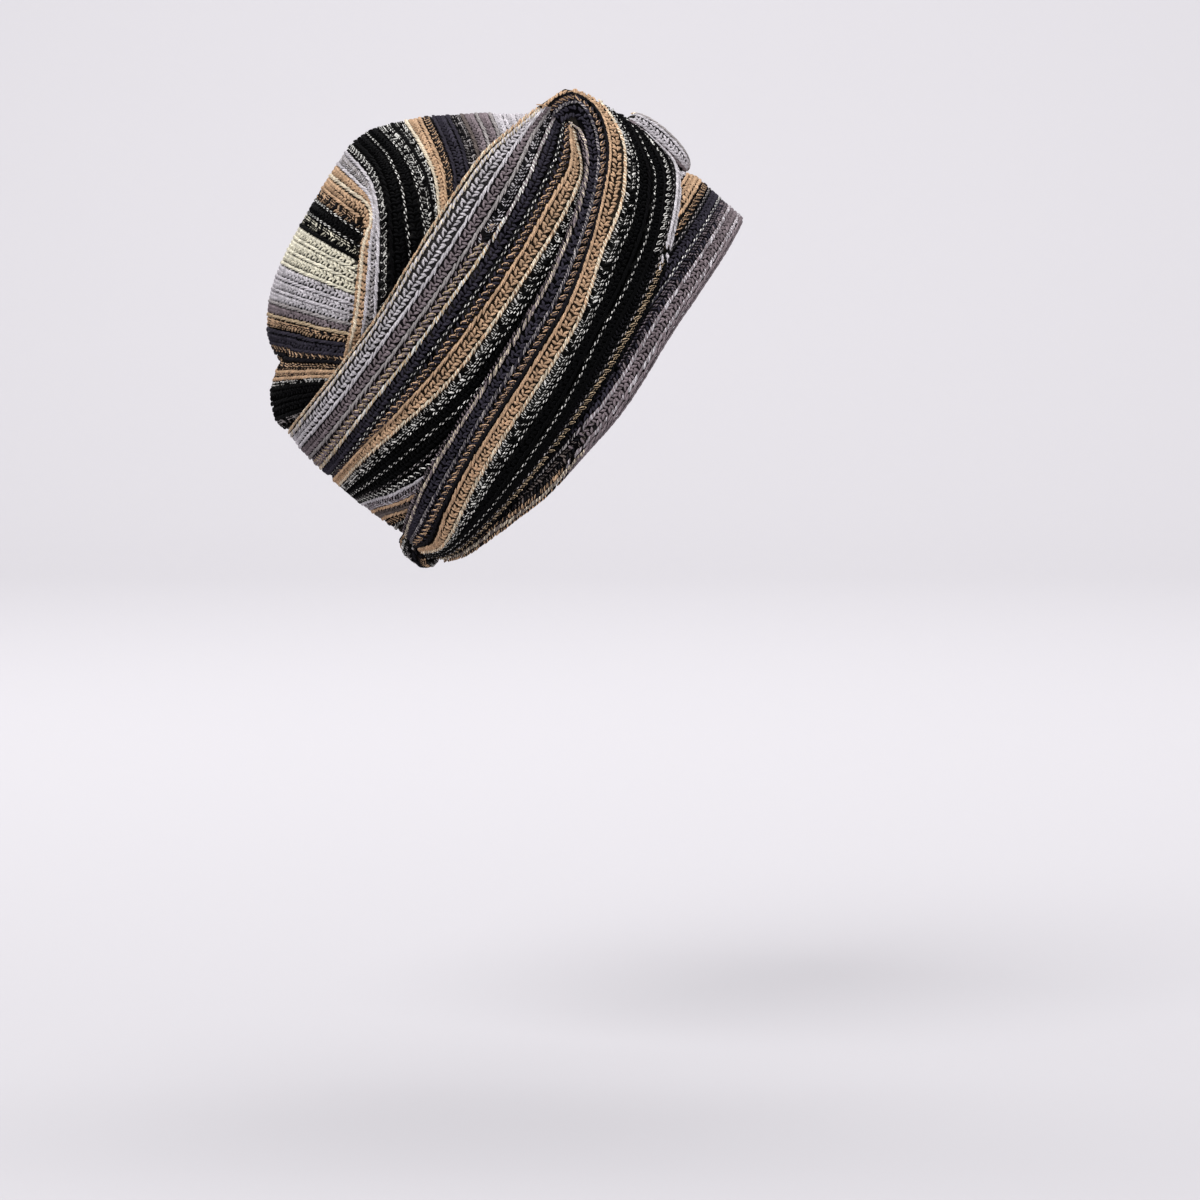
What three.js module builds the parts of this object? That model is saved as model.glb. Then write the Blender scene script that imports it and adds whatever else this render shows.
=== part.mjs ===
// A knitted turban headwrap in its worn form. A slouched bag covers the top of the head. A band of
// three pleats is wound round it, gathered in a knot at the centre front and in a roll at the nape.
//
// Part frame: millimetres, +Z up, the wearer faces +X and the wearer's right hand is at -Y.
// The origin is the centre of the head opening, where the band grips the head.
//
// Band coordinates: angle is 0 degrees at the centre front, 90 at the wearer's right and 180 at the
// nape; height is measured from the plane of the opening, and proud is the distance outwards from
// the band's outermost ellipse, so it is negative inside it.
import * as THREE from "three";

const WORN_TILT = THREE.MathUtils.degToRad(48.5);
const BAND_HALF_LENGTH = 117.5;
const BAND_HALF_WIDTH = 89;
const CLEARANCE = 0.3;

const BAG_WALL = 2.6;
const BAG_HEM_LIFT = 3;
const PLEAT_THICKNESS = 3.7;
const STRAP_THICKNESS = 3.8;
const STRAP_PROUD = -0.1;
const LOBE_LEAN = { from: 76, rate: 0.014, endAngle: 33 };
const TUCKED_PROUD = STRAP_PROUD - STRAP_THICKNESS - CLEARANCE;
const PLEAT_OVERLAP = 10;
const UPPER_SWELL = 3.4;
const BRIM_SWELL = 3.2;

const UPPER_WRAP_END = 33;
const UPPER_WRAP_NAPE_HEIGHT = 18.4;
const STRAP_FRONT_END = 9;
const STRAP_NAPE_END = 163;
const BRIM_WRAP_END = 162;

const KNOT = { halfAngle: 8, low: 27.5, high: 70, proud: 5.2, back: TUCKED_PROUD + CLEARANCE, folds: 3 };
const ROLL = { halfAngle: 16.2, height: 7.6, halfHeight: 9.9, proud: -2.6, halfDepth: 5.3 };

// Lower edge of the whole band, by the distance forward of the middle.
const BRIM_EDGE = [
  { forward: -117, height: 1 },
  { forward: -100, height: -8 },
  { forward: -80, height: -12 },
  { forward: -40, height: -18 },
  { forward: 0, height: -18 },
  { forward: 20, height: -16 },
  { forward: 50, height: -11 },
  { forward: 100, height: -5 },
  { forward: 117.5, height: -2 },
];

// Upper edge of the upper pleat, the finished edge of the cloth.
const SELVEDGE = [
  { forward: -117.5, height: 93 },
  { forward: -60, height: 94 },
  { forward: -20, height: 99.5 },
  { forward: 20, height: 106.5 },
  { forward: 50, height: 110 },
  { forward: 70, height: 109 },
  { forward: 85, height: 106 },
  { forward: 100, height: 101 },
];

// Upper edge of a side strap: up over the lobe beside the knot, then down to the nape.
const STRAP_TOP = [
  { angle: 9, height: 61 },
  { angle: 13, height: 71 },
  { angle: 16, height: 82 },
  { angle: 18.5, height: 91 },
  { angle: 22, height: 98.5 },
  { angle: 27, height: 103.5 },
  { angle: 31, height: 103 },
  { angle: 34, height: 96 },
  { angle: 36, height: 84 },
  { angle: 40, height: 77 },
  { angle: 50, height: 65 },
  { angle: 64, height: 53 },
  { angle: 90, height: 41 },
  { angle: 117, height: 33 },
  { angle: 150, height: 22 },
  { angle: 163, height: 18 },
];

// Lower edge of a side strap, which lies over the brim pleat.
const STRAP_BOTTOM = [
  { angle: 5, height: 42 },
  { angle: 20, height: 35 },
  { angle: 40, height: 20.6 },
  { angle: 60, height: 7.4 },
  { angle: 77, height: 0 },
  { angle: 90, height: -4 },
  { angle: 110, height: -7.5 },
  { angle: 130, height: -8 },
  { angle: 150, height: -4 },
  { angle: 163, height: 1.5 },
];

// The bag's outline at each height: how far it reaches back and forward, and its half width.
const BAG_LEVELS = [
  { height: 30, back: -109, front: 109, halfWidth: 80.4 },
  { height: 60, back: -109, front: 109, halfWidth: 80.4 },
  { height: 82, back: -109, front: 108.5, halfWidth: 80.4 },
  { height: 91, back: -108.5, front: 106, halfWidth: 80.2 },
  { height: 98, back: -107, front: 100, halfWidth: 79.8 },
  { height: 104, back: -104, front: 92, halfWidth: 78.6 },
  { height: 110, back: -100, front: 84.5, halfWidth: 77 },
  { height: 115, back: -97, front: 80, halfWidth: 75 },
  { height: 120, back: -91, front: 75.5, halfWidth: 72.5 },
  { height: 127, back: -88, front: 70, halfWidth: 68.5 },
  { height: 134, back: -84.5, front: 63, halfWidth: 63.5 },
  { height: 141, back: -77, front: 56, halfWidth: 57 },
  { height: 147, back: -68, front: 50, halfWidth: 50 },
  { height: 152, back: -56.5, front: 43.5, halfWidth: 42.5 },
  { height: 157, back: -39, front: 37, halfWidth: 33 },
  { height: 161, back: -20, front: 31, halfWidth: 23.5 },
  { height: 164, back: -3, front: 25.5, halfWidth: 13.5 },
];
const BAG_TOP = { forward: 13, height: 166 };

// The slouch: the bag hangs over the upper pleat at the back, in one bulge.
const SLOUCH = { reach: 9.5, halfAngle: 34, low: 93.5, high: 121 };

// The large fold on the right of the bag: the line of its ridge, and how far the cloth steps.
const FOLD_RIDGE = [
  { height: 99, forward: -42 },
  { height: 106, forward: -35 },
  { height: 115, forward: -25 },
  { height: 122, forward: -15 },
  { height: 132, forward: 0 },
  { height: 145, forward: 8 },
  { height: 165, forward: 11 },
];
const FOLD = { rise: 3.2, drop: 5.5, reach: 22, softness: 5, low: 97, high: 164 };

const rad = THREE.MathUtils.degToRad;
const smooth = THREE.MathUtils.smoothstep;

// A smooth curve through two columns of a table, straight past its ends.
function column(table, key, value) {
  const x = table.map((row) => row[key]);
  const y = table.map((row) => row[value]);
  const last = x.length - 1;
  const slope = x.map((_, i) => {
    const before = Math.max(i - 1, 0);
    const after = Math.min(i + 1, last);
    return (y[after] - y[before]) / (x[after] - x[before]);
  });
  return (at) => {
    if (at <= x[0]) return y[0];
    if (at >= x[last]) return y[last];
    const i = x.findIndex((start, n) => at >= start && at < x[n + 1]);
    const span = x[i + 1] - x[i];
    const t = (at - x[i]) / span;
    const rest = 1 - t;
    const startPart = (1 + 2 * t) * rest * rest * y[i] + t * rest * rest * span * slope[i];
    const endPart = t * t * (3 - 2 * t) * y[i + 1] - t * t * rest * span * slope[i + 1];
    return startPart + endPart;
  };
}

const brimAtForward = column(BRIM_EDGE, "forward", "height");
const selvedgeAtForward = column(SELVEDGE, "forward", "height");
const forwardOf = (angle) => BAND_HALF_LENGTH * Math.cos(rad(angle));
const brimEdge = (angle) => brimAtForward(forwardOf(angle));
const selvedge = (angle) => selvedgeAtForward(forwardOf(angle));
const strapTop = column(STRAP_TOP, "angle", "height");
const strapBottom = column(STRAP_BOTTOM, "angle", "height");
const foldRidge = column(FOLD_RIDGE, "height", "forward");

// The angle from the front, the same on the right and on the left.
const fromFront = (angle) => Math.abs(((angle + 180) % 360) - 180);

function inBand(angle, height, proud) {
  return new THREE.Vector3(
    (BAND_HALF_LENGTH + proud) * Math.cos(rad(angle)),
    -(BAND_HALF_WIDTH + proud) * Math.sin(rad(angle)),
    height,
  );
}

// A solid from points and triangles, turned so that its faces point outwards.
function closedSolid(points, triangles) {
  let volume = 0;
  for (const [i, j, k] of triangles) {
    volume += points[i].dot(new THREE.Vector3().crossVectors(points[j], points[k]));
  }
  const order = volume < 0 ? triangles.map(([i, j, k]) => [i, k, j]) : triangles;
  const geometry = new THREE.BufferGeometry().setFromPoints(points);
  geometry.setIndex(order.flat());
  return geometry;
}

// A body lofted through sections with the same number of points, with a fan over each end.
function loft(sections) {
  const points = sections.flat();
  const count = sections[0].length;
  const triangles = [];
  for (let s = 0; s < sections.length - 1; s++) {
    for (let i = 0; i < count; i++) {
      const a = s * count + i;
      const b = s * count + ((i + 1) % count);
      triangles.push([a, b, b + count], [a, b + count, a + count]);
    }
  }
  // A section is a strip: its first and middle points are its edges, so its end is zipped across.
  const half = count / 2;
  const zip = (start, turned) => {
    for (let i = 0; i < half; i++) {
      const outer = [start + i, start + i + 1];
      const inner = [start + ((count - i) % count), start + count - i - 1];
      const pair = [
        [outer[0], outer[1], inner[1]],
        [outer[0], inner[1], inner[0]],
      ];
      for (const [p, q, r] of pair) {
        if (p !== q && q !== r && r !== p) triangles.push(turned ? [p, q, r] : [p, r, q]);
      }
    }
  };
  zip(0, false);
  zip((sections.length - 1) * count, true);
  return closedSolid(points, triangles);
}

// The section of a pleat at one angle: a wall with two rounded edges, its outer face following
// proudAt(height).
function pleatSection(angle, low, high, thickness, proudAt) {
  const steps = 7;
  const outer = [];
  const inner = [];
  for (let i = 0; i <= steps; i++) {
    const across = 0.5 - 0.5 * Math.cos((Math.PI * i) / steps);
    const height = THREE.MathUtils.lerp(low, high, across);
    const roundness = Math.sqrt(1 - Math.pow(Math.abs(2 * across - 1), 6));
    const middle = proudAt(height) - thickness / 2;
    const half = (thickness / 2) * roundness;
    outer.push(inBand(angle, height, middle + half));
    if (i > 0 && i < steps) inner.unshift(inBand(angle, height, middle - half));
  }
  return [...outer, ...inner];
}

function spread(start, end, count) {
  return Array.from({ length: count + 1 }, (_, i) => start + ((end - start) * i) / count);
}

// The upper pleat: from under the right lobe round the nape to under the left lobe.
function upperWrap() {
  const sections = spread(UPPER_WRAP_END, 360 - UPPER_WRAP_END, 46).map((angle) => {
    const side = fromFront(angle);
    const crease = side < STRAP_NAPE_END ? strapTop(Math.max(side, 36)) : UPPER_WRAP_NAPE_HEIGHT;
    const tuck = Math.min(PLEAT_OVERLAP, (crease - strapBottom(side)) * 0.3);
    const low = side < STRAP_NAPE_END ? Math.max(crease - tuck, strapBottom(side) + tuck) : crease;
    const high = selvedge(angle);
    const free = smooth(side, 40, 64);
    const proudAt = (height) => {
      const open = THREE.MathUtils.clamp((height - crease) / (high - crease), 0, 1);
      return TUCKED_PROUD + UPPER_SWELL * free * Math.pow(Math.sin(Math.PI * open), 0.7);
    };
    return pleatSection(angle, low, high, PLEAT_THICKNESS, proudAt);
  });
  return loft(sections);
}

// A side strap, from beside the knot over the lobe and down to the nape.
function sideWrap(side) {
  const angles = [...spread(STRAP_FRONT_END, 36, 12), ...spread(40, STRAP_NAPE_END, 21)];
  const sections = angles.map((angle) => {
    const low = strapBottom(angle);
    const high = strapTop(angle);
    const leaning = LOBE_LEAN.rate * (1 - smooth(angle, LOBE_LEAN.endAngle - 9, LOBE_LEAN.endAngle));
    const proudAt = (height) => STRAP_PROUD - leaning * Math.pow(Math.max(height - LOBE_LEAN.from, 0), 2);
    return pleatSection(side * angle, low, high, STRAP_THICKNESS, proudAt);
  });
  return loft(sections);
}

// The brim pleat: once round the opening, from one end of the nape roll to the other.
function brimWrap() {
  const sections = spread(-BRIM_WRAP_END, BRIM_WRAP_END, 50).map((angle) => {
    const side = Math.abs(angle);
    const underKnot = 1 - smooth(side, KNOT.halfAngle, KNOT.halfAngle + 5);
    const edge = strapBottom(side);
    const cover = THREE.MathUtils.lerp(edge, KNOT.low, underKnot);
    const room = (strapTop(Math.max(side, STRAP_FRONT_END)) - edge) * 0.25;
    const high = edge + Math.min(PLEAT_OVERLAP, room);
    const proudAt = (height) => {
      return TUCKED_PROUD + BRIM_SWELL * smooth(cover - height, CLEARANCE, 7);
    };
    return pleatSection(angle, brimEdge(angle), high, PLEAT_THICKNESS, proudAt);
  });
  return loft(sections);
}

// The knot: a small upright bun whose face is gathered in folds that run up and down.
function frontKnot() {
  const across = 12;
  const middle = (KNOT.low + KNOT.high) / 2;
  const halfHeight = (KNOT.high - KNOT.low) / 2;
  const sections = spread(-0.985, 0.985, 14).map((up) => {
    const taper = Math.sqrt(1 - up * up);
    const width = KNOT.halfAngle * Math.pow(taper, 0.6);
    const depth = (KNOT.proud - KNOT.back) * Math.pow(taper, 0.7);
    const height = middle + halfHeight * up;
    const face = [];
    for (let i = 0; i <= across; i++) {
      const turn = (Math.PI * i) / across;
      const fold = 1 + 0.07 * Math.cos(2 * KNOT.folds * turn);
      const proud = KNOT.back + depth * Math.pow(Math.sin(turn), 0.7) * fold;
      face.push(inBand(-width * Math.cos(turn), height, proud));
    }
    const back = [];
    for (let i = across - 1; i > 0; i--) {
      const turn = (Math.PI * i) / across;
      back.push(inBand(-width * Math.cos(turn), height, KNOT.back - CLEARANCE * Math.sin(turn) * 0.5));
    }
    return [...face, ...back];
  });
  return loft(sections);
}

// The nape roll: cloth rolled into a short fat tube, with a hollow in each end.
function napeRoll() {
  const around = 16;
  const ends = [
    { along: 0.78, size: 0.3 },
    { along: 0.94, size: 0.55 },
    { along: 1, size: 0.8 },
    { along: 0.93, size: 0.97 },
    { along: 0.6, size: 1 },
    { along: 0.25, size: 0.95 },
  ];
  const stations = [
    ...ends.map(({ along, size }) => ({ along: -along, size })),
    ...ends.toReversed(),
  ];
  const sections = stations.map(({ along, size }) => {
    const ring = [];
    for (let i = 0; i < around; i++) {
      const turn = (2 * Math.PI * i) / around;
      const height = ROLL.height + ROLL.halfHeight * size * Math.cos(turn);
      const proud = ROLL.proud + ROLL.halfDepth * size * Math.sin(turn);
      ring.push(inBand(180 + ROLL.halfAngle * along, height, proud));
    }
    return ring;
  });
  return loft(sections);
}

// How far the bag's cloth stands out at a place: the slouch at the back and the fold on the right.
function bagRelief(angle, forward, height) {
  const fromNape = Math.abs(angle - 180) / SLOUCH.halfAngle;
  const level = THREE.MathUtils.clamp((height - SLOUCH.low) / (SLOUCH.high - SLOUCH.low), 0, 1);
  const slouch = SLOUCH.reach * Math.exp(-fromNape * fromNape) * Math.pow(Math.sin(Math.PI * level), 0.5);
  const inFold = smooth(height, FOLD.low, FOLD.low + 12) * (1 - smooth(height, FOLD.high - 22, FOLD.high));
  const onRight = smooth(Math.sin(rad(angle)), 0.15, 0.6);
  const ahead = forward - foldRidge(height);
  const step = smooth(ahead, -FOLD.softness, FOLD.softness);
  const fade = Math.exp(-Math.abs(ahead) / FOLD.reach);
  const fold = (step * FOLD.rise - (1 - step) * FOLD.drop) * fade * inFold * onRight;
  return { slouch, fold };
}

function bagPoint(angle, level) {
  const middle = (level.front + level.back) / 2;
  const half = (level.front - level.back) / 2;
  const forward = middle + half * Math.cos(rad(angle));
  const relief = bagRelief(angle, forward, level.height);
  return new THREE.Vector3(
    middle + (half + relief.slouch) * Math.cos(rad(angle)),
    -(level.halfWidth + relief.fold) * Math.sin(rad(angle)),
    level.height,
  );
}

// The bag: a thin wall from its hem, just inside the brim, up over the head.
function crown() {
  const around = 60;
  const angles = spread(0, 360, around).slice(0, around);
  const rings = [
    angles.map((angle) => bagPoint(angle, { ...BAG_LEVELS[0], height: brimEdge(angle) + BAG_HEM_LIFT })),
    ...BAG_LEVELS.map((level) => angles.map((angle) => bagPoint(angle, level))),
  ];
  const top = new THREE.Vector3(BAG_TOP.forward, 0, BAG_TOP.height);
  const inward = rings.map((ring, r) =>
    ring.map((point, i) => {
      const above = rings[r + 1] ? rings[r + 1][i] : top;
      const below = rings[Math.max(r - 1, 0)][i];
      const next = ring[(i + 1) % around];
      const previous = ring[(i + around - 1) % around];
      const up = above.clone().sub(below);
      const along = next.clone().sub(previous);
      const normal = up.cross(along).normalize().multiplyScalar(BAG_WALL);
      const inner = point.clone().sub(normal);
      if (r === 0) inner.z = point.z;
      return inner;
    }),
  );
  const layers = [...inward.toReversed(), ...rings];
  const points = layers.flat();
  const triangles = [];
  for (let layer = 0; layer < layers.length - 1; layer++) {
    for (let i = 0; i < around; i++) {
      const a = layer * around + i;
      const b = layer * around + ((i + 1) % around);
      triangles.push([a, b, b + around], [a, b + around, a + around]);
    }
  }
  const innerTop = points.push(top.clone().setZ(BAG_TOP.height - BAG_WALL)) - 1;
  const outerTop = points.push(top) - 1;
  const lastRing = (layers.length - 1) * around;
  for (let i = 0; i < around; i++) {
    const next = (i + 1) % around;
    triangles.push([i, innerTop, next], [lastRing + i, lastRing + next, outerTop]);
  }
  return closedSolid(points, triangles);
}

// One plain colour for each piece, the middle of its stripes.
function knit(color) {
  return new THREE.MeshStandardMaterial({ color, roughness: 0.95, metalness: 0, side: THREE.FrontSide });
}

function piece(name, geometry, color) {
  geometry.computeVertexNormals();
  const mesh = new THREE.Mesh(geometry, knit(color));
  mesh.name = name;
  return mesh;
}

const worn = new THREE.Group();
worn.rotation.y = -WORN_TILT;
worn.add(
  piece("crown", crown(), 0x8c827f),
  piece("upper_wrap", upperWrap(), 0x8a7f83),
  piece("side_wrap_right", sideWrap(1), 0x3b3940),
  piece("side_wrap_left", sideWrap(-1), 0x3b3940),
  piece("brim_wrap", brimWrap(), 0x5d545a),
  piece("front_knot", frontKnot(), 0xa5a2a9),
  piece("nape_roll", napeRoll(), 0x4a4340),
);

const turban = new THREE.Group();
turban.add(worn);
export default turban;
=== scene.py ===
import math

import bmesh
import bpy
import numpy as np
from bpy.props import FloatProperty, FloatVectorProperty, IntProperty, PointerProperty
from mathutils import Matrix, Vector
from mathutils.kdtree import KDTree


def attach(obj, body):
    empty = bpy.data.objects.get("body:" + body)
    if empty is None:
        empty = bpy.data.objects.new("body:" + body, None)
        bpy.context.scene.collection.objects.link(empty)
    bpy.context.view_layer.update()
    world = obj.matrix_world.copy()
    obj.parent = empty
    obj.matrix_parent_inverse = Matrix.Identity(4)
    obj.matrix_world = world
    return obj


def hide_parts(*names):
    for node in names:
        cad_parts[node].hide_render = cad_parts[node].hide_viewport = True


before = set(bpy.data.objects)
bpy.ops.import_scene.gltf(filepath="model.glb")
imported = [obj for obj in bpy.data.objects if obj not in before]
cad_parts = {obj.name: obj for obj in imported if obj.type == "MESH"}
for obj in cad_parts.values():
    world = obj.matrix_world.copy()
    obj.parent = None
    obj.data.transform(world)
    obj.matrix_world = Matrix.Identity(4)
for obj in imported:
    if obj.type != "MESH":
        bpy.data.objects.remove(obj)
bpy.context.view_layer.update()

bl_info = {
    "name": "Knitted turban headwrap",
    "version": (1, 0, 0),
    "blender": (4, 5, 0),
    "location": "3D View > Sidebar > Turban",
    "description": "A striped knit turban in its worn form, laid stitch by stitch",
    "category": "Add Mesh",
}

# The band's own axes: forward and up from the plane of the head opening, in millimetres.
WORN_TILT = math.radians(48.5)
BAND_HALF_LENGTH = 117.5
BAND_HALF_WIDTH = 89.0
TUCKED = -4.2
FOLD_RADIUS = 1.9
STITCH_DEPTH = 1.1
STRAP_FRONT_END = 9.0
STRAP_NAPE_END = 163.0
UPPER_START_ANGLE = 36.0
BRIM_ROWS_END = 162.0


# Shape tables, all in millimetres and degrees. An angle is 0 at the centre front, 90 at the
# wearer's right and 180 at the nape.

BRIM_EDGE = {
    "forward": [-117, -100, -80, -40, 0, 20, 50, 100, 117.5],
    "height": [1, -8, -12, -18, -18, -16, -11, -5, -2],
}

STRAP_BOTTOM = {
    "angle": [5, 20, 40, 60, 77, 90, 110, 130, 150, 163],
    "height": [42, 35, 20.6, 7.4, 0, -4, -7.5, -8, -4, 1.5],
}

STRAP_TOP = {
    "angle": [9, 13, 16, 18.5, 22, 27, 31, 34, 36, 40, 50, 64, 90, 117, 150, 163],
    "height": [61, 71, 82, 91, 98.5, 103.5, 103, 96, 84, 77, 65, 53, 41, 33, 22, 18],
}

# The upper wrap: each row of the cloth, by its distance down from the finished edge, with its
# height at each angle round the band.
UPPER_ANGLES = [36, 45, 60, 75, 90, 110, 128, 147, 163, 180]
UPPER_ROWS = {
    0: [104.8, 106.9, 110, 107.2, 103, 96.5, 94.3, 93.6, 93.3, 93.2],
    8: [103.8, 104.2, 101, 96.5, 92, 88.3, 85.8, 85.3, 85.6, 85.8],
    15: [102.6, 100.8, 94, 89, 84.8, 80.9, 79.1, 78, 78.3, 78.6],
    22: [98.5, 94.8, 87, 81.3, 77.5, 73.9, 72.6, 71.3, 71, 71.2],
    29: [90.5, 86, 79, 73.3, 69.7, 67, 65.6, 65, 65.2, 65.5],
    36: [84.5, 77.2, 71.7, 66, 61.9, 59.4, 60.2, 61.6, 62, 62.2],
    43: [79, 70.5, 63.3, 58.3, 54.3, 51.6, 55, 58, 58.5, 58.8],
    57: [70, 58.5, 49.5, 44, 40, 39, 43, 47, 50, 51],
    71: [59, 46.5, 37, 31, 27, 26, 27.5, 34.5, 42, 44],
    78: [53, 40.5, 30.5, 25, 21, 20, 22, 28.5, 35.8, 37.5],
    85: [47, 34.5, 24.5, 19, 15, 14.5, 17, 22.8, 30, 31.5],
    96: [39, 26.5, 17, 11, 7, 7, 10, 15.5, 20, 18.5],
}

# Where the rows of the upper wrap start beside the lobe.
UPPER_START = {
    "down": [0, 8, 15, 22, 29, 36, 43, 57, 96],
    "angle": [38, 37, 36, 33.6, 32.8, 33, 33.2, 34, 36],
    "height": [105.3, 104.4, 103, 99.2, 94, 90, 87.5, 78, 39],
}

# The side strap: each row by its distance down from the strap's fold, as points of angle and
# height from the nape to the front. The first rows turn back over the lobe.
STRAP_ROWS = {
    0: [(163, 17.5), (150, 22), (134, 28.5), (117, 33.5), (93, 41), (77, 47), (60, 57.3), (50, 65),
        (43, 72), (36.7, 81.5), (34, 85.5), (32.6, 89)],
    4: [(163, 15.5), (150, 19), (117, 29.5), (90, 37.5), (77, 42.5), (60, 53.3), (50, 61), (43, 67.5),
        (37, 75.5), (33, 81.8), (29.6, 88), (29.2, 92.3), (31, 95), (35, 96.5)],
    10: [(163, 12), (150, 13), (117, 23.5), (90, 32), (77, 37), (60, 48.8), (50, 57), (43, 63.5),
         (37, 69.5), (32, 76), (28, 82), (25.4, 90.5), (26.3, 97.2), (30, 100.8), (36, 102)],
    16: [(163, 8.5), (152, 4.5), (139, 9.7), (125, 15.7), (110, 20.4), (90, 27), (77, 32), (60, 44.6),
         (50, 53.4), (40, 62), (35, 66.5), (27.5, 75.5), (22.6, 84), (21.4, 91.4), (24, 99),
         (29.8, 103.6), (35.2, 105), (39, 105.6)],
    17.5: [(163, 8), (151, 3.7), (132, 11), (110, 19), (90, 25.2), (77, 30.3), (60, 43), (49, 52.2),
           (39, 60.7), (31, 68.5), (25.8, 74.8), (21.4, 83.5), (20.2, 90.5), (21.8, 96.8), (24.9, 101.6),
           (28, 103.9)],
    19: [(163, 7.5), (150, 3), (125, 12.5), (110, 17.5), (90, 23.5), (77, 28.5), (60, 41.5), (48, 51),
         (39, 58.5), (31, 67), (25, 74), (20.6, 82), (19.2, 88.5), (20, 94.5), (22.2, 98.9)],
    20.5: [(163, 7), (150, 2.2), (125, 10.9), (110, 16), (90, 21.7), (77, 26.7), (60, 40), (47.5, 48.7),
           (38.5, 56.4), (30, 65.5), (24, 73.3), (20, 81), (18.4, 87), (18.9, 92)],
    22: [(163, 6.5), (152, 1), (143, 1.8), (125, 9.3), (110, 14.6), (90, 20), (77, 25), (60, 38.5),
         (47, 46), (38, 54.3), (28, 64.8), (23, 72.6), (19.4, 80), (17.4, 86.5)],
    40: [(163, 4), (150, -2.5), (130, -4), (110, -1.5), (93, 3.5), (77, 12), (60, 19.7), (47, 28),
         (36, 37), (28, 44.6), (21, 56), (16, 63), (12.6, 72)],
    58: [(163, 1.5), (150, -5), (130, -8), (110, -7.5), (90, -4), (77, 0), (60, 7.4), (50, 13.6),
         (40, 20.6), (30, 27.6), (20, 34.5), (14, 39), (10.4, 44), (9, 52), (8.7, 62)],
}

# The bag's outline at each height: how far it reaches back and forward, and its half width.
BAG_LEVELS = {
    "height": [30, 60, 82, 91, 98, 104, 110, 115, 120, 127, 134, 141, 147, 152, 157, 161, 164, 165.8],
    "back": [-109, -109, -109, -108.5, -107, -104, -100, -97, -91, -88, -84.5, -77, -68, -56.5, -39,
             -20, -3, 10],
    "front": [109, 109, 108.5, 106, 100, 92, 84.5, 80, 75.5, 70, 63, 56, 50, 43.5, 37, 31, 25.5, 18],
    "width": [80.4, 80.4, 80.4, 80.2, 79.8, 78.6, 77, 75, 72.5, 68.5, 63.5, 57, 50, 42.5, 33, 23.5,
              13.5, 5],
}
BAG_HALF_LENGTH = 109.0
BAG_HALF_WIDTH = 80.4
BAG_LOWEST = 30.0
BAG_HIGHEST = 165.8
BAG_MIDDLE = (0.0, 0.0, 60.0)
BAG_TOP = (13.5, 166.0)
SLOUCH = {"reach": 9.5, "half_angle": 34.0, "half_width": 80.0, "low": 93.5, "high": 121.0}

# The axis from side to side that the bag's stripes lie about, by its place forward and up, and the
# length of cloth that one radian round it takes.
BAG_POLE = (6.0, 0.0)
POLE_RADIUS = 105.0

# Places along the bag's outline in the middle, from low at the back over the top to the front.
BAG_SKYLINE = {
    "length": [-30, -10, 0, 6.7, 15, 23, 30, 37, 44, 49, 57, 67, 77, 89, 99, 109.5, 120, 130, 140, 150,
               160.4, 170, 181, 193, 206, 220, 234, 250, 259, 270, 285, 300, 320],
    "forward": [-109, -109, -108.4, -107, -103.2, -98.3, -95, -92.3, -90, -88, -85.5, -78, -70, -60, -50,
                -40, -30, -20, -10, 0, 10, 20, 30, 40, 50, 60, 70, 80, 85, 92, 104, 108.7, 109],
    "height": [62, 82, 92, 98, 105.5, 113, 117, 119, 121, 127, 132.5, 140.5, 146, 150.8, 153.8, 156.7, 159,
               161, 162.8, 164.5, 165.8, 165.6, 161.7, 155, 147, 137, 127, 115, 109.3, 104, 94, 80, 60],
}

# Rows of the bag in front of its large fold, by their place along the skyline, as points of
# forward and height from the skyline down the right side.
FOLD_ROWS = {
    141: [(-9, 163), (-8, 149), (-6.5, 138), (-11.5, 131), (-20, 125.5), (-33, 116.5), (-46, 107),
          (-64, 97), (-72, 91)],
    146: [(-4, 163.9), (-2, 149), (-1, 137), (-6, 131), (-15.7, 126.5), (-29, 117), (-42, 107.5),
          (-61, 96.5), (-68, 91)],
    153: [(2.5, 164.8), (3, 150), (2.5, 140), (-3.5, 131), (-14, 124), (-26, 114.5), (-38, 105.5),
          (-51, 96.5), (-58, 90)],
    160.4: [(10, 165.8), (9.5, 151), (7, 142), (-1.3, 130.5), (-12, 120.5), (-23.4, 111), (-33, 103.3),
            (-41, 96.5), (-48, 90)],
    172: [(21, 165.2), (20, 147), (13, 131.5), (1, 117.5), (-7, 108.5), (-16, 99), (-24, 90)],
    185: [(33.5, 159.3), (32, 143), (26, 126), (15, 111), (6, 100), (-2, 90)],
    203: [(47.5, 149), (42.5, 135), (35, 120), (23, 107), (14, 97), (8, 89)],
    222: [(61, 136), (56, 122), (48, 110), (40, 100), (34, 90)],
    250: [(80, 115), (76, 108), (71, 100), (66, 90)],
    266: [(90, 105.5), (86, 100), (81, 92), (78, 88)],
    285: [(104, 94), (97, 86.5), (84, 78)],
    300: [(108.7, 80), (101, 73.5), (88, 66)],
    320: [(109, 60), (104, 57), (95, 53)],
}

KNOT = {"half_angle": 8.0, "low": 33.0, "high": 72.0, "proud": 5.2, "back": -3.9, "folds": 3}
KNOT_GIRTH = 42.0

ROLL = {"half_angle": 16.2, "height": 7.6, "half_height": 9.9, "proud": -2.6, "half_depth": 5.3}
ROLL_RADIUS = 7.4

# The roll's end, from the middle of its hollow out over the rim to the roll's own middle.
ROLL_ENDS = {
    "along": [0.66, 0.86, 0.97, 1.0, 0.96, 0.85, 0.6, 0.0],
    "size": [0.22, 0.42, 0.6, 0.78, 0.93, 1.0, 1.0, 0.97],
}

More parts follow.
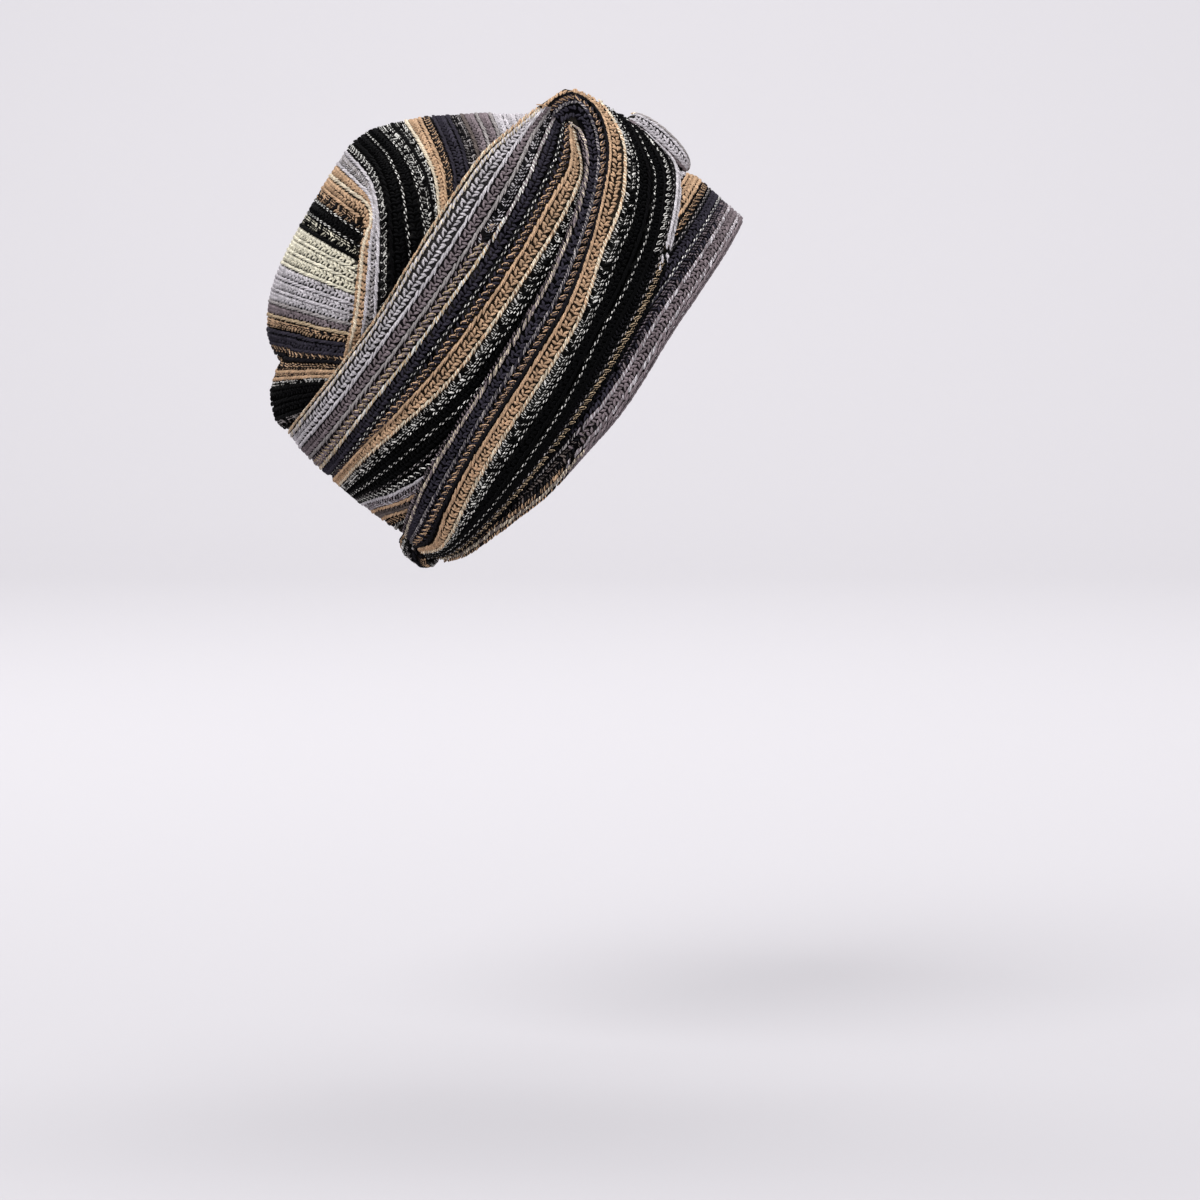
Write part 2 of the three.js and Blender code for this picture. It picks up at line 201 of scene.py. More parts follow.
# How far each swell, crease and tuck of a cloth stands out of its plain surface.
UPPER_RELIEF = {"swell": 3.6, "rest": -0.9, "tuck": -2.2, "lip": 3.2, "sink": -1.6}
TUCK_LINE = {"angle": [36, 120, 140, 163, 180], "down": [40, 39, 33, 31, 31]}
STRAP_RELIEF = {"rest": -0.1, "swell": 1.1, "hairpin": -3.4, "valley": -1.6}
BRIM_SWELL = 3.2
FOLD_RELIEF = {"ridge": 3.4, "ridge_reach": 20.0, "hollow": -5.0, "hollow_reach": 22.0}


# Yarns, as they look in soft light.
YARNS = {
    "black": "#060607",
    "charcoal": "#19181c",
    "indigo": "#38353f",
    "mauve": "#867a7e",
    "taupe": "#6e6460",
    "lilac": "#cdc8cc",
    "grey": "#a29c9b",
    "tan": "#caa888",
    "cream": "#e4d6be",
    "ivory": "#f0ead4",
    "gold": "#c8b192",
    "white": "#e6e4de",
}

# The stitches in one repeat of each kind of course: place along the repeat, place across the
# course, slant in degrees, length, thickness and lift in millimetres, and the look: "plain" is the
# course's own yarn, "twist" has one ply of its fleck, "mixed" is either, and "loop" is an open
# loop of the fleck over the course's own yarn.
COURSE_KINDS = {
    "cord": [
        (0.0, -0.05, 15, 4.6, 1.25, 0.7, "plain"),
        (0.5, 0.05, 15, 4.6, 1.25, 0.7, "plain"),
    ],
    "flecked_cord": [
        (0.0, -0.05, 15, 4.5, 1.25, 0.7, "mixed"),
        (0.5, 0.05, 15, 4.3, 1.25, 0.7, "twist"),
    ],
    "dashes": [
        (0.0, -0.05, -13, 4.4, 1.2, 0.5, "plain"),
        (0.5, 0.05, -14, 3.8, 1.15, 0.62, "twist"),
    ],
    "lattice": [
        (0.28, -0.25, 76, 2.6, 1.5, 0.3, "plain"),
        (0.7, -0.23, 36, 2.9, 1.4, 0.36, "plain"),
        (0.78, 0.25, -76, 2.6, 1.5, 0.3, "plain"),
        (0.2, 0.23, -36, 2.9, 1.4, 0.36, "plain"),
    ],
    "heather": [
        (0.25, -0.26, 54, 2.7, 1.15, 0.3, "mixed"),
        (0.72, -0.24, 42, 2.7, 1.1, 0.4, "mixed"),
        (0.0, 0.24, -52, 2.7, 1.1, 0.4, "mixed"),
        (0.5, 0.26, -44, 2.7, 1.15, 0.3, "mixed"),
    ],
    "loops": [
        (0.0, 0.02, -42, 3.7, 1.6, 0.55, "loop"),
        (0.5, 0.12, -36, 2.8, 1.0, 0.35, "mixed"),
        (0.5, -0.3, 46, 2.9, 1.2, 0.15, "plain"),
        (0.45, 0.34, -46, 2.9, 1.2, 0.15, "plain"),
    ],
}

# Courses of each cloth: place down the cloth, width, kind, yarn and fleck. A course that changes
# along its way has a part for each stretch, as shares of the way from the front to the nape.
UPPER_COURSES = [
    (-1.3, 2.0, "flecked_cord", "tan", "cream"),
    (0.7, 2.0, "flecked_cord", "lilac", "cream"),
    (4.2, 4.8, "lattice", "lilac", "lilac"),
    (8, 2.4, "cord", "lilac", "lilac"),
    (11.5, 4.6, "lattice", "mauve", "mauve"),
    (15, 2.4, "cord", "grey", "grey"),
    (18.5, 4.6, "heather", "charcoal", "lilac", (0.0, 0.3)),
    (18.5, 4.6, "loops", "mauve", "gold", (0.3, 1.0)),
    (22, 2.4, "flecked_cord", "mauve", "white", (0.0, 0.3)),
    (22, 2.4, "flecked_cord", "gold", "white", (0.3, 1.0)),
    (25.5, 4.6, "lattice", "indigo", "indigo"),
    (29, 2.4, "dashes", "charcoal", "white"),
    (32.5, 4.6, "loops", "indigo", "tan"),
    (36, 2.4, "cord", "tan", "tan"),
    (39.5, 4.6, "lattice", "tan", "tan"),
    (43, 2.4, "flecked_cord", "cream", "tan"),
    (46.5, 4.6, "heather", "black", "white"),
    (50, 2.4, "dashes", "black", "white"),
    (53.5, 4.6, "lattice", "black", "black"),
    (57, 2.4, "dashes", "black", "white"),
    (60.5, 4.6, "lattice", "black", "black"),
    (64, 2.4, "dashes", "black", "grey"),
    (67.5, 4.6, "loops", "black", "white"),
    (71, 2.6, "cord", "lilac", "lilac"),
    (74.5, 4.6, "heather", "mauve", "lilac"),
    (78, 2.6, "cord", "tan", "tan"),
    (81.5, 4.6, "lattice", "taupe", "tan"),
    (85, 2.6, "cord", "tan", "tan"),
    (88.5, 4.6, "loops", "black", "tan"),
    (92, 2.4, "flecked_cord", "charcoal", "white"),
    (95.2, 3.6, "heather", "black", "taupe"),
]

STRAP_COURSES = [
    (-1.6, 2.2, "flecked_cord", "charcoal", "mauve"),
    (0.6, 2.4, "flecked_cord", "mauve", "cream"),
    (4, 4.4, "lattice", "indigo", "indigo"),
    (7.2, 2.4, "flecked_cord", "indigo", "grey"),
    (10.6, 4.6, "loops", "indigo", "tan"),
    (13.4, 2.0, "cord", "charcoal", "charcoal"),
    (16, 2.5, "cord", "tan", "tan"),
    (19.2, 4.2, "lattice", "tan", "tan"),
    (22.3, 2.4, "flecked_cord", "cream", "tan"),
    (25.6, 4.6, "heather", "black", "white"),
    (29, 2.4, "dashes", "black", "white"),
    (32.6, 4.6, "lattice", "black", "black"),
    (36.2, 2.4, "cord", "black", "black"),
    (40, 2.6, "dashes", "black", "white"),
    (43.7, 4.6, "lattice", "black", "black"),
    (47.3, 2.4, "cord", "black", "black"),
    (51, 4.6, "loops", "black", "white", (0.0, 0.34)),
    (51, 4.6, "heather", "black", "charcoal", (0.34, 1.0)),
    (54.6, 2.4, "dashes", "black", "grey"),
    (57.8, 2.6, "cord", "lilac", "lilac", (0.0, 0.36)),
    (57.8, 2.6, "loops", "black", "gold", (0.36, 1.0)),
    (60, 2.2, "cord", "lilac", "lilac", (0.0, 0.36)),
    (60, 2.2, "flecked_cord", "black", "charcoal", (0.36, 1.0)),
]

BRIM_COURSES = [
    (-2.4, 2.0, "cord", "mauve", "mauve", (0.0, 0.66)),
    (-2.4, 2.0, "flecked_cord", "charcoal", "tan", (0.66, 1.0)),
    (-0.9, 2.0, "cord", "mauve", "mauve", (0.0, 0.62)),
    (-0.9, 2.0, "flecked_cord", "taupe", "cream", (0.62, 1.0)),
    (0.7, 2.4, "flecked_cord", "mauve", "lilac", (0.0, 0.64)),
    (0.7, 2.4, "flecked_cord", "charcoal", "tan", (0.64, 1.0)),
    (3.8, 4.4, "lattice", "mauve", "mauve", (0.0, 0.6)),
    (3.8, 4.4, "heather", "charcoal", "taupe", (0.6, 1.0)),
    (6.8, 2.4, "flecked_cord", "mauve", "lilac", (0.0, 0.6)),
    (6.8, 2.4, "flecked_cord", "charcoal", "grey", (0.6, 1.0)),
    (10, 4.6, "heather", "indigo", "mauve", (0.0, 0.5)),
    (10, 4.6, "lattice", "indigo", "indigo", (0.5, 1.0)),
    (13.2, 2.4, "dashes", "indigo", "white"),
    (16.4, 4.6, "lattice", "indigo", "indigo"),
    (19.8, 2.4, "dashes", "charcoal", "grey"),
    (23, 4.6, "loops", "charcoal", "tan"),
    (26.4, 2.6, "cord", "tan", "tan"),
    (29.8, 4.6, "lattice", "tan", "tan"),
    (33.2, 2.4, "cord", "tan", "tan"),
    (36.6, 4.6, "lattice", "lilac", "lilac"),
    (40, 2.6, "cord", "lilac", "lilac"),
    (43.4, 4.6, "lattice", "grey", "lilac"),
]

# Bands of the bag from low at the back, by where each starts along the skyline: the kind of
# its wide courses, their yarn and fleck, and the yarn of its cords.
BAG_BANDS = [
    (-30, "heather", "charcoal", "grey", "taupe"),
    (5, "heather", "black", "grey", "black"),
    (13, "lattice", "black", "black", "black"),
    (27, "heather", "black", "white", "black"),
    (34, "heather", "charcoal", "tan", "tan"),
    (46, "loops", "charcoal", "tan", "charcoal"),
    (53, "lattice", "indigo", "indigo", "indigo"),
    (63, "heather", "tan", "charcoal", "gold"),
    (70, "lattice", "mauve", "mauve", "grey"),
    (78, "lattice", "lilac", "lilac", "lilac"),
    (97, "lattice", "ivory", "ivory", "ivory"),
    (117, "heather", "black", "ivory", "black"),
    (123, "lattice", "black", "black", "dashes"),
    (133.5, "heather", "charcoal", "tan", "black"),
    (136.5, "lattice", "tan", "tan", "tan"),
    (144, "lattice", "tan", "tan", "cream"),
    (151, "lattice", "lilac", "lilac", "lilac"),
    (156, "heather", "grey", "lilac", "lilac"),
    (162, "loops", "black", "white", "black"),
    (170, "lattice", "black", "black", "dashes"),
    (184, "heather", "black", "white", "black"),
    (192, "heather", "charcoal", "tan", "cream"),
    (196, "lattice", "tan", "tan", "tan"),
    (205, "loops", "charcoal", "tan", "indigo"),
    (210, "lattice", "indigo", "indigo", "indigo"),
    (217, "heather", "charcoal", "grey", "taupe"),
    (224, "lattice", "mauve", "mauve", "grey"),
    (238, "lattice", "lilac", "lilac", "lilac"),
]
BAG_FIRST_CORD = 160.4
BAG_REPEAT = 7.0
BAG_COURSES_FROM = -10.0
BAG_COURSES_TO = 316.0

KNOT_COURSES = [
    (2.5, 2.2, "cord", "mauve", "mauve"),
    (5.2, 2.4, "cord", "lilac", "lilac"),
    (8.8, 4.4, "lattice", "lilac", "lilac"),
    (12.4, 2.4, "cord", "lilac", "lilac"),
    (15.2, 2.4, "cord", "grey", "grey"),
    (18, 2.2, "flecked_cord", "cream", "tan"),
    (21, 2.6, "cord", "tan", "tan"),
    (24, 2.2, "flecked_cord", "cream", "tan"),
    (26.8, 2.4, "cord", "grey", "grey"),
    (29.6, 2.4, "cord", "lilac", "lilac"),
    (33.2, 4.4, "lattice", "lilac", "lilac"),
    (36.8, 2.4, "cord", "lilac", "lilac"),
    (39.5, 2.2, "cord", "mauve", "mauve"),
]

# The courses of the roll, one after the other round it.
ROLL_YARNS = [
    ("heather", "black", "grey"),
    ("cord", "charcoal", "charcoal"),
    ("heather", "charcoal", "tan"),
    ("flecked_cord", "black", "white"),
]
ROLL_COURSES = 13


def linear(hex_colour):
    """The scene-linear value of a colour written as a hex code."""
    values = [int(hex_colour[i : i + 2], 16) / 255 for i in (1, 3, 5)]
    return tuple(v / 12.92 if v <= 0.04045 else ((v + 0.055) / 1.055) ** 2.4 for v in values)


class TurbanKnit(bpy.types.PropertyGroup):
    """Sizes of the knit and shades of its yarns."""

    repeat: FloatProperty(
        name="Stitch repeat", description="Length of cloth that one repeat of stitches takes",
        default=0.0043, unit="LENGTH")
    thickness: FloatProperty(
        name="Yarn thickness", description="How thick the yarn is, against the chart's own sizes",
        default=1.0, subtype="FACTOR", min=0.3, max=2.0)
    slack: FloatProperty(
        name="Slack", description="How far a stitch may turn away from its place",
        default=math.radians(7), subtype="ANGLE")
    shade: FloatProperty(
        name="Yarn variation", description="How much lighter or darker one stitch is than the next",
        default=0.16, subtype="FACTOR", min=0.0, max=1.0)
    drift: FloatProperty(
        name="Yarn drift", description="How far a yarn lightens and darkens along its way",
        default=0.1, subtype="FACTOR", min=0.0, max=1.0)
    # Painted shade: the cloth behind the stitches is darkened to this share of its yarns' colour, to stand
    # for the shade in the gaps between stitches.
    backing: FloatProperty(
        name="Painted gap shade", description="Shade of the cloth behind the stitches",
        default=0.06, subtype="FACTOR", min=0.0, max=1.0)
    inside: FloatProperty(
        name="Inside shade", description="Shade of the inside of the cloth against the outside",
        default=0.75, subtype="FACTOR", min=0.0, max=1.0)
    seed: IntProperty(name="Seed", description="Start of the random draws", default=11)


class TurbanStage(bpy.types.PropertyGroup):
    """The floor's height and colour, and the camera's distance, elevation and frame width."""

    distance: FloatProperty(
        name="Camera distance", description="How far the camera stands from the turban",
        default=2.4, unit="LENGTH")
    elevation: FloatProperty(
        name="Camera elevation", description="How far the camera looks down",
        default=math.radians(4.5), subtype="ANGLE")
    frame_width: FloatProperty(
        name="Frame width", description="Width of the view at the turban", default=0.6, unit="LENGTH")
    floor: FloatProperty(
        name="Floor height", description="Height of the floor below the head opening",
        default=-0.345, unit="LENGTH")
    floor_colour: FloatVectorProperty(
        name="Floor colour", description="Colour of the floor and backdrop", subtype="COLOR",
        default=linear("#b4b2b5"), size=3)


def knit():
    return bpy.context.scene.turban_knit


# Curves and surfaces.


def smooth_between(x, y, at):
    """A smooth curve through y at each x, along the first axis of y, level past its ends."""
    x = np.asarray(x, float)
    y = np.asarray(y, float)
    at = np.clip(np.asarray(at, float), x[0], x[-1])
    step = np.diff(x)
    rise = np.diff(y, axis=0) / step.reshape((-1,) + (1,) * (y.ndim - 1))
    slope = np.concatenate([rise[:1], rise, rise[-1:]])
    before, after = slope[:-1], slope[1:]
    same = before * after > 0
    with np.errstate(divide="ignore", invalid="ignore"):
        both = np.where(same, 2 * before * after / (before + after), 0.0)
    i = np.clip(np.searchsorted(x, at, side="right") - 1, 0, len(x) - 2)
    t = (at - x[i]) / step[i]
    wide = (slice(None),) * t.ndim + (None,) * (y.ndim - 1)
    t, span = t[wide], step[i][wide]
    rest = 1 - t
    near = (1 + 2 * t) * rest * rest * y[i] + t * rest * rest * span * both[i]
    far = t * t * (3 - 2 * t) * y[i + 1] - t * t * rest * span * both[i + 1]
    return near + far


def table(columns, key, value):
    """A function that reads one column of a table from another, along a smooth curve."""
    return lambda at: smooth_between(columns[key], columns[value], at)


brim_at_forward = table(BRIM_EDGE, "forward", "height")
strap_bottom = table(STRAP_BOTTOM, "angle", "height")
strap_top = table(STRAP_TOP, "angle", "height")
bag_back = table(BAG_LEVELS, "height", "back")
bag_front = table(BAG_LEVELS, "height", "front")
bag_width = table(BAG_LEVELS, "height", "width")


def step_up(x, low, high):
    """A smooth step from 0 at low to 1 at high."""
    t = np.clip((x - low) / (high - low), 0, 1)
    return t * t * (3 - 2 * t)


def along_path(points, count):
    """Evenly spaced points of a smooth path through the given ones."""
    points = np.asarray(points, float)
    chord = np.concatenate([[0], np.cumsum(np.sqrt(np.linalg.norm(np.diff(points, axis=0), axis=1)))])
    tangent = np.gradient(points, chord, axis=0)
    fine = np.linspace(0, chord[-1], 600)
    i = np.clip(np.searchsorted(chord, fine, side="right") - 1, 0, len(chord) - 2)
    span = (chord[i + 1] - chord[i])[:, None]
    t = (fine - chord[i])[:, None] / span
    rest = 1 - t
    path = (1 + 2 * t) * rest * rest * points[i] + t * rest * rest * span * tangent[i]
    path = path + t * t * (3 - 2 * t) * points[i + 1] - t * t * rest * span * tangent[i + 1]
    length = np.concatenate([[0], np.cumsum(np.linalg.norm(np.diff(path, axis=0), axis=1))])
    even = np.linspace(0, length[-1], count)
    return np.stack([np.interp(even, length, path[:, k]) for k in (0, 1)], axis=1)


def in_band(angle, height, proud, lean=0.0):
    """Points in the band's axes: forward, left and up. lean draws a point in to the middle."""
    turn = np.radians(angle)
    forward = (BAND_HALF_LENGTH + proud) * np.cos(turn)
    left = -(BAND_HALF_WIDTH + proud - lean) * np.sin(turn)
    return np.stack([forward, left, height + np.zeros_like(forward)], axis=-1)


def worn(points):
    """From the band's axes in millimetres to the part's frame in metres."""
    forward, left, up = points[..., 0], points[..., 1], points[..., 2]
    x = forward * math.cos(WORN_TILT) - up * math.sin(WORN_TILT)
    z = forward * math.sin(WORN_TILT) + up * math.cos(WORN_TILT)
    return np.stack([x, left, z], axis=-1) / 1000


def band_place(spots):
    """From the part's frame in metres back to millimetres forward and up in the band's axes."""
    cos, sin = math.cos(WORN_TILT), math.sin(WORN_TILT)
    forward = (spots[:, 0] * cos + spots[:, 2] * sin) * 1000
    height = (spots[:, 2] * cos - spots[:, 0] * sin) * 1000
    return forward, height


class Surface:
    """A wall of cloth whose edges roll over in a round fold. down is millimetres down the cloth and
    along runs from 0 to 1 along its rows. Past either edge row, and past the end of the rows, the
    points lie on the fold."""

    ROW_LENGTH = 300.0

    def at(self, down, along, inside=False):
        """Points of the wall's outer or inner face, with their normals."""
        down, along = np.broadcast_arrays(np.asarray(down, float), np.asarray(along, float))
        on_row = np.clip(along, 0, 1)
        first, last = self.limits(on_row)
        on_cloth = np.clip(down, first, last)
        point, normal, across, beyond = self.base(on_cloth, on_row)
        past = ((down - on_cloth) / FOLD_RADIUS)[..., None]
        over = (np.maximum(along - on_row, 0) * self.ROW_LENGTH / FOLD_RADIUS)[..., None]
        swing = across * np.sin(past) + beyond * np.cos(past) * np.sin(over)
        depth = np.cos(past) * np.cos(over) * (-1 if inside else 1)
        point = point + FOLD_RADIUS * (swing - normal * (1 - depth))
        normal = normal * depth + swing
        return point, normal / np.maximum(np.linalg.norm(normal, axis=-1, keepdims=True), 1e-9)


class Cloth(Surface):
    """A cloth laid out on a grid of its rows."""

    FINE = 0.5
    SQUARE = (0.25, 0.6)
    ALIKE = (0.3, 0.7)

    def __init__(self, rows, flow, proud, lean=None):
        self.first, self.last = min(rows), max(rows)
        keys = sorted(rows)
        paths = np.stack([flow(rows[k]) for k in keys])
        self.downs = np.arange(self.first, self.last + self.FINE / 2, self.FINE)
        flat = smooth_between(keys, paths, self.downs)
        angle, height = flat[..., 0], flat[..., 1]
        along = np.linspace(0, 1, flat.shape[1])[None, :]
        out = proud(self.downs[:, None], along, angle, height)

        def band(angle, height):
            return in_band(angle, height, out, lean(angle, height) if lean else 0.0)

        self.flat = flat
        self.points = band(angle, height)
        across = np.gradient(self.points, axis=0)
        forward = np.gradient(self.points, axis=1)
        round_band = band(angle + 0.5, height) - band(angle - 0.5, height)
        up_band = band(angle, height + 0.5) - band(angle, height - 0.5)
        plain = self._unit(np.cross(round_band, up_band))
        plain = plain * np.sign((plain * self.points * np.array([1, 1, 0])).sum(-1, keepdims=True))
        own = np.cross(forward, across)
        size = np.linalg.norm(own, axis=-1, keepdims=True)
        full = np.linalg.norm(forward, axis=-1, keepdims=True)
        full = full * np.linalg.norm(across, axis=-1, keepdims=True)
        own = self._unit(own) * np.sign((own * plain).sum(-1, keepdims=True))
        alike = (own * plain).sum(-1, keepdims=True)
        sure = step_up(size / np.maximum(full, 1e-9), *self.SQUARE) * step_up(alike, *self.ALIKE)
        self.normals = self._unit(own * sure + plain * (1 - sure))
        across = across - self.normals * (across * self.normals).sum(-1, keepdims=True)
        self.across = self._unit(across)
        beyond = self._unit(np.cross(np.gradient(self.points[:, -1], axis=0), self.normals[:, -1]))
        middle = len(beyond) * 2 // 3
        ahead = self.points[middle, -1] - self.points[middle, -8]
        self.beyond = beyond * np.sign((beyond[middle] * ahead).sum())

    @staticmethod
    def _unit(vectors):
        return vectors / np.maximum(np.linalg.norm(vectors, axis=-1, keepdims=True), 1e-9)

    def _look(self, grid, down, along):
        i = np.clip((down - self.first) / self.FINE, 0, grid.shape[0] - 1.001)
        j = np.clip(along * (grid.shape[1] - 1), 0, grid.shape[1] - 1.001)
        i0, j0 = i.astype(int), j.astype(int)
        s, t = (i - i0)[..., None], (j - j0)[..., None]
        top = grid[i0, j0] * (1 - t) + grid[i0, j0 + 1] * t
        low = grid[i0 + 1, j0] * (1 - t) + grid[i0 + 1, j0 + 1] * t
        return top * (1 - s) + low * s

    def limits(self, along):
        return np.full(along.shape, float(self.first)), np.full(along.shape, float(self.last))

    def base(self, down, along):
        beyond = np.stack([np.interp(down, self.downs, self.beyond[:, k]) for k in range(3)], axis=-1)
        looked = [self._look(grid, down, along) for grid in (self.points, self.normals, self.across)]
        return looked[0], self._unit(looked[1]), self._unit(looked[2]), beyond

    def place(self, down, along):
        """Angle and height of points of the cloth."""
        down, along = np.broadcast_arrays(np.asarray(down, float), np.asarray(along, float))
        return self._look(self.flat, down, along)


# Stitches.


class Stitches:
    """A list of yarn stitches to be laid on a cloth."""

    # The share of stitches of each look that take their fleck.
    LOOKS = {"plain": 0.0, "twist": 1.0, "mixed": 0.78, "loop": 0.0}
    SOLID_SHARE = 0.14
    PALE = (0.45, 1.1)
    SECOND_PLY = 0.82
    # How far a stitch strays: in millimetres along and across its row, as a share of the way round
    # at a change of yarn, and as a share of its length and thickness.
    PLAY = {"along": 0.25, "across": 0.15, "change": 0.03, "length": 0.12, "thickness": 0.14}
    DRIFT_WAVES = (5.0, 13.0, 31.0)
    ROW_POINTS = 900

    def __init__(self, seed):
        self.lists = {key: [] for key in ("point", "up", "way", "size", "tint", "fleck", "loop")}
        self.random = np.random.default_rng(seed)

    def lay(self, surface, course, seen=None, from_front=None, flip=1, end=1.0):
        """Lay one course along its row of a surface, where seen says that it shows."""
        down, width, kind, yarn, fleck = course[:5]
        settings = knit()
        pitch = settings.repeat * 1000
        along = np.linspace(0, end, self.ROW_POINTS)
        row, _ = surface(np.full_like(along, down), along)
        length = np.concatenate([[0], np.cumsum(np.linalg.norm(np.diff(row, axis=0), axis=1))])
        count = int(length[-1] / pitch)
        phase = self.random.random()
        waves = self.random.uniform(0, 2 * math.pi, len(self.DRIFT_WAVES))
        for share, place, slant, size, thick, lift, look in COURSE_KINDS[kind]:
            where = (np.arange(count) + (share + phase) % 1.0) * pitch
            where = where[where < length[-1]]
            number = len(where)
            if number == 0:
                continue
            jitter = self.random.uniform(-1, 1, (4, number))
            here = np.interp(where + self.PLAY["along"] * jitter[0], length, along)
            drift = down + flip * place * width + self.PLAY["across"] * jitter[1]
            point, up = surface(drift, here)
            reach = 1.0 / max(length[-1], 1.0)
            ahead, _ = surface(drift, np.clip(here + reach, 0, end))
            behind, _ = surface(drift, np.clip(here - reach, 0, end))
            way = ahead - behind
            way /= np.maximum(np.linalg.norm(way, axis=-1, keepdims=True), 1e-9)
            side = np.cross(up, way)
            angle = math.radians(slant) * flip
            way = way * math.cos(angle) + side * math.sin(angle)
            keep = np.ones(number, bool) if seen is None else seen(drift, here)
            if len(course) > 5:
                since, until = course[5]
                way_round = from_front(here) + self.PLAY["change"] * jitter[2]
                keep = keep & (way_round >= since) & (way_round < until)
            own = np.array(linear(YARNS[yarn]))
            other = np.array(linear(YARNS[fleck]))
            slow = sum(np.sin(where / wide + wave) for wide, wave in zip(self.DRIFT_WAVES, waves))
            slow = slow / len(waves)
            shade = 1 + settings.shade * jitter[3] + settings.drift * slow
            flecked = self.random.random(number) < self.LOOKS[look]
            solid_share = self.SOLID_SHARE if look == "mixed" else 0
            solid = flecked & (self.random.random(number) < solid_share)
            first = np.where(solid[:, None], other, own) * shade[:, None]
            pale = self.random.uniform(*self.PALE, number)[:, None]
            second = np.where(flecked[:, None], other * pale, own * self.SECOND_PLY) * shade[:, None]
            if look == "loop":
                second = other * shade[:, None]
            stretch = 1 + self.PLAY["length"] * self.random.uniform(-1, 1, number)
            uneven = 1 + self.PLAY["thickness"] * self.random.uniform(-1, 1, number)
            thickness = thick * settings.thickness * uneven
            made = {
                "point": point + up * lift,
                "up": up,
                "way": way,
                "size": np.stack([size * stretch, thickness, thickness], axis=1),
                "tint": first,
                "fleck": second,
                "loop": np.full(number, float(look == "loop")),
            }
            for key, values in made.items():
                self.lists[key].append(values[keep])

    def joined(self):
        return {key: np.concatenate(values) for key, values in self.lists.items()}


THREE_SIDED_WIDTH = 1.22


def spread_stitches(name, stitches, tree, material, sides=4):
    """Turn a list of stitches into one mesh with the stitch tree, and take the modifier off. Stitches
    of three sides are made wider, to cover as much cloth as those of four."""
    made = stitches.joined()
    wider = np.array([1.0, THREE_SIDED_WIDTH if sides == 3 else 1.0, 1.0])
    mesh = bpy.data.meshes.new(name + "_places")
    mesh.vertices.add(len(made["point"]))
    mesh.vertices.foreach_set("co", worn(made["point"]).ravel())
    vectors = {
        "stitch_up": worn(made["up"]) * 1000,
        "stitch_way": worn(made["way"]) * 1000,
        "stitch_size": made["size"] * wider / 1000,
    }
    for attribute, values in vectors.items():
        mesh.attributes.new(attribute, "FLOAT_VECTOR", "POINT").data.foreach_set("vector", values.ravel())
    for attribute, key in (("yarn_tint_and_shade", "tint"), ("yarn_fleck", "fleck")):
        colours = np.concatenate([made[key], np.ones((len(made[key]), 1))], axis=1)
        mesh.attributes.new(attribute, "FLOAT_COLOR", "POINT").data.foreach_set("color", colours.ravel())
    mesh.attributes.new("stitch_loop", "FLOAT", "POINT").data.foreach_set("value", made["loop"])
    places = bpy.data.objects.new(name + "_places", mesh)
    bpy.context.scene.collection.objects.link(places)
    modifier = places.modifiers.new("Lay stitches", "NODES")
    modifier.node_group = tree
    sockets = {s.name: s.identifier for s in tree.interface.items_tree if s.in_out == "INPUT"}
    modifier[sockets["Sides"]] = sides
    modifier[sockets["Slack"]] = knit().slack
    modifier[sockets["Seed"]] = knit().seed
    modifier[sockets["Yarn"]] = material
    depsgraph = bpy.context.evaluated_depsgraph_get()
    result = bpy.data.meshes.new_from_object(
        places.evaluated_get(depsgraph), preserve_all_data_layers=True, depsgraph=depsgraph)
    places.modifiers.remove(modifier)
    bpy.data.objects.remove(places)
    bpy.data.meshes.remove(mesh)
    result.name = name
    result.shade_smooth()
    piece = bpy.data.objects.new(name, result)
    bpy.context.scene.collection.objects.link(piece)
    return piece


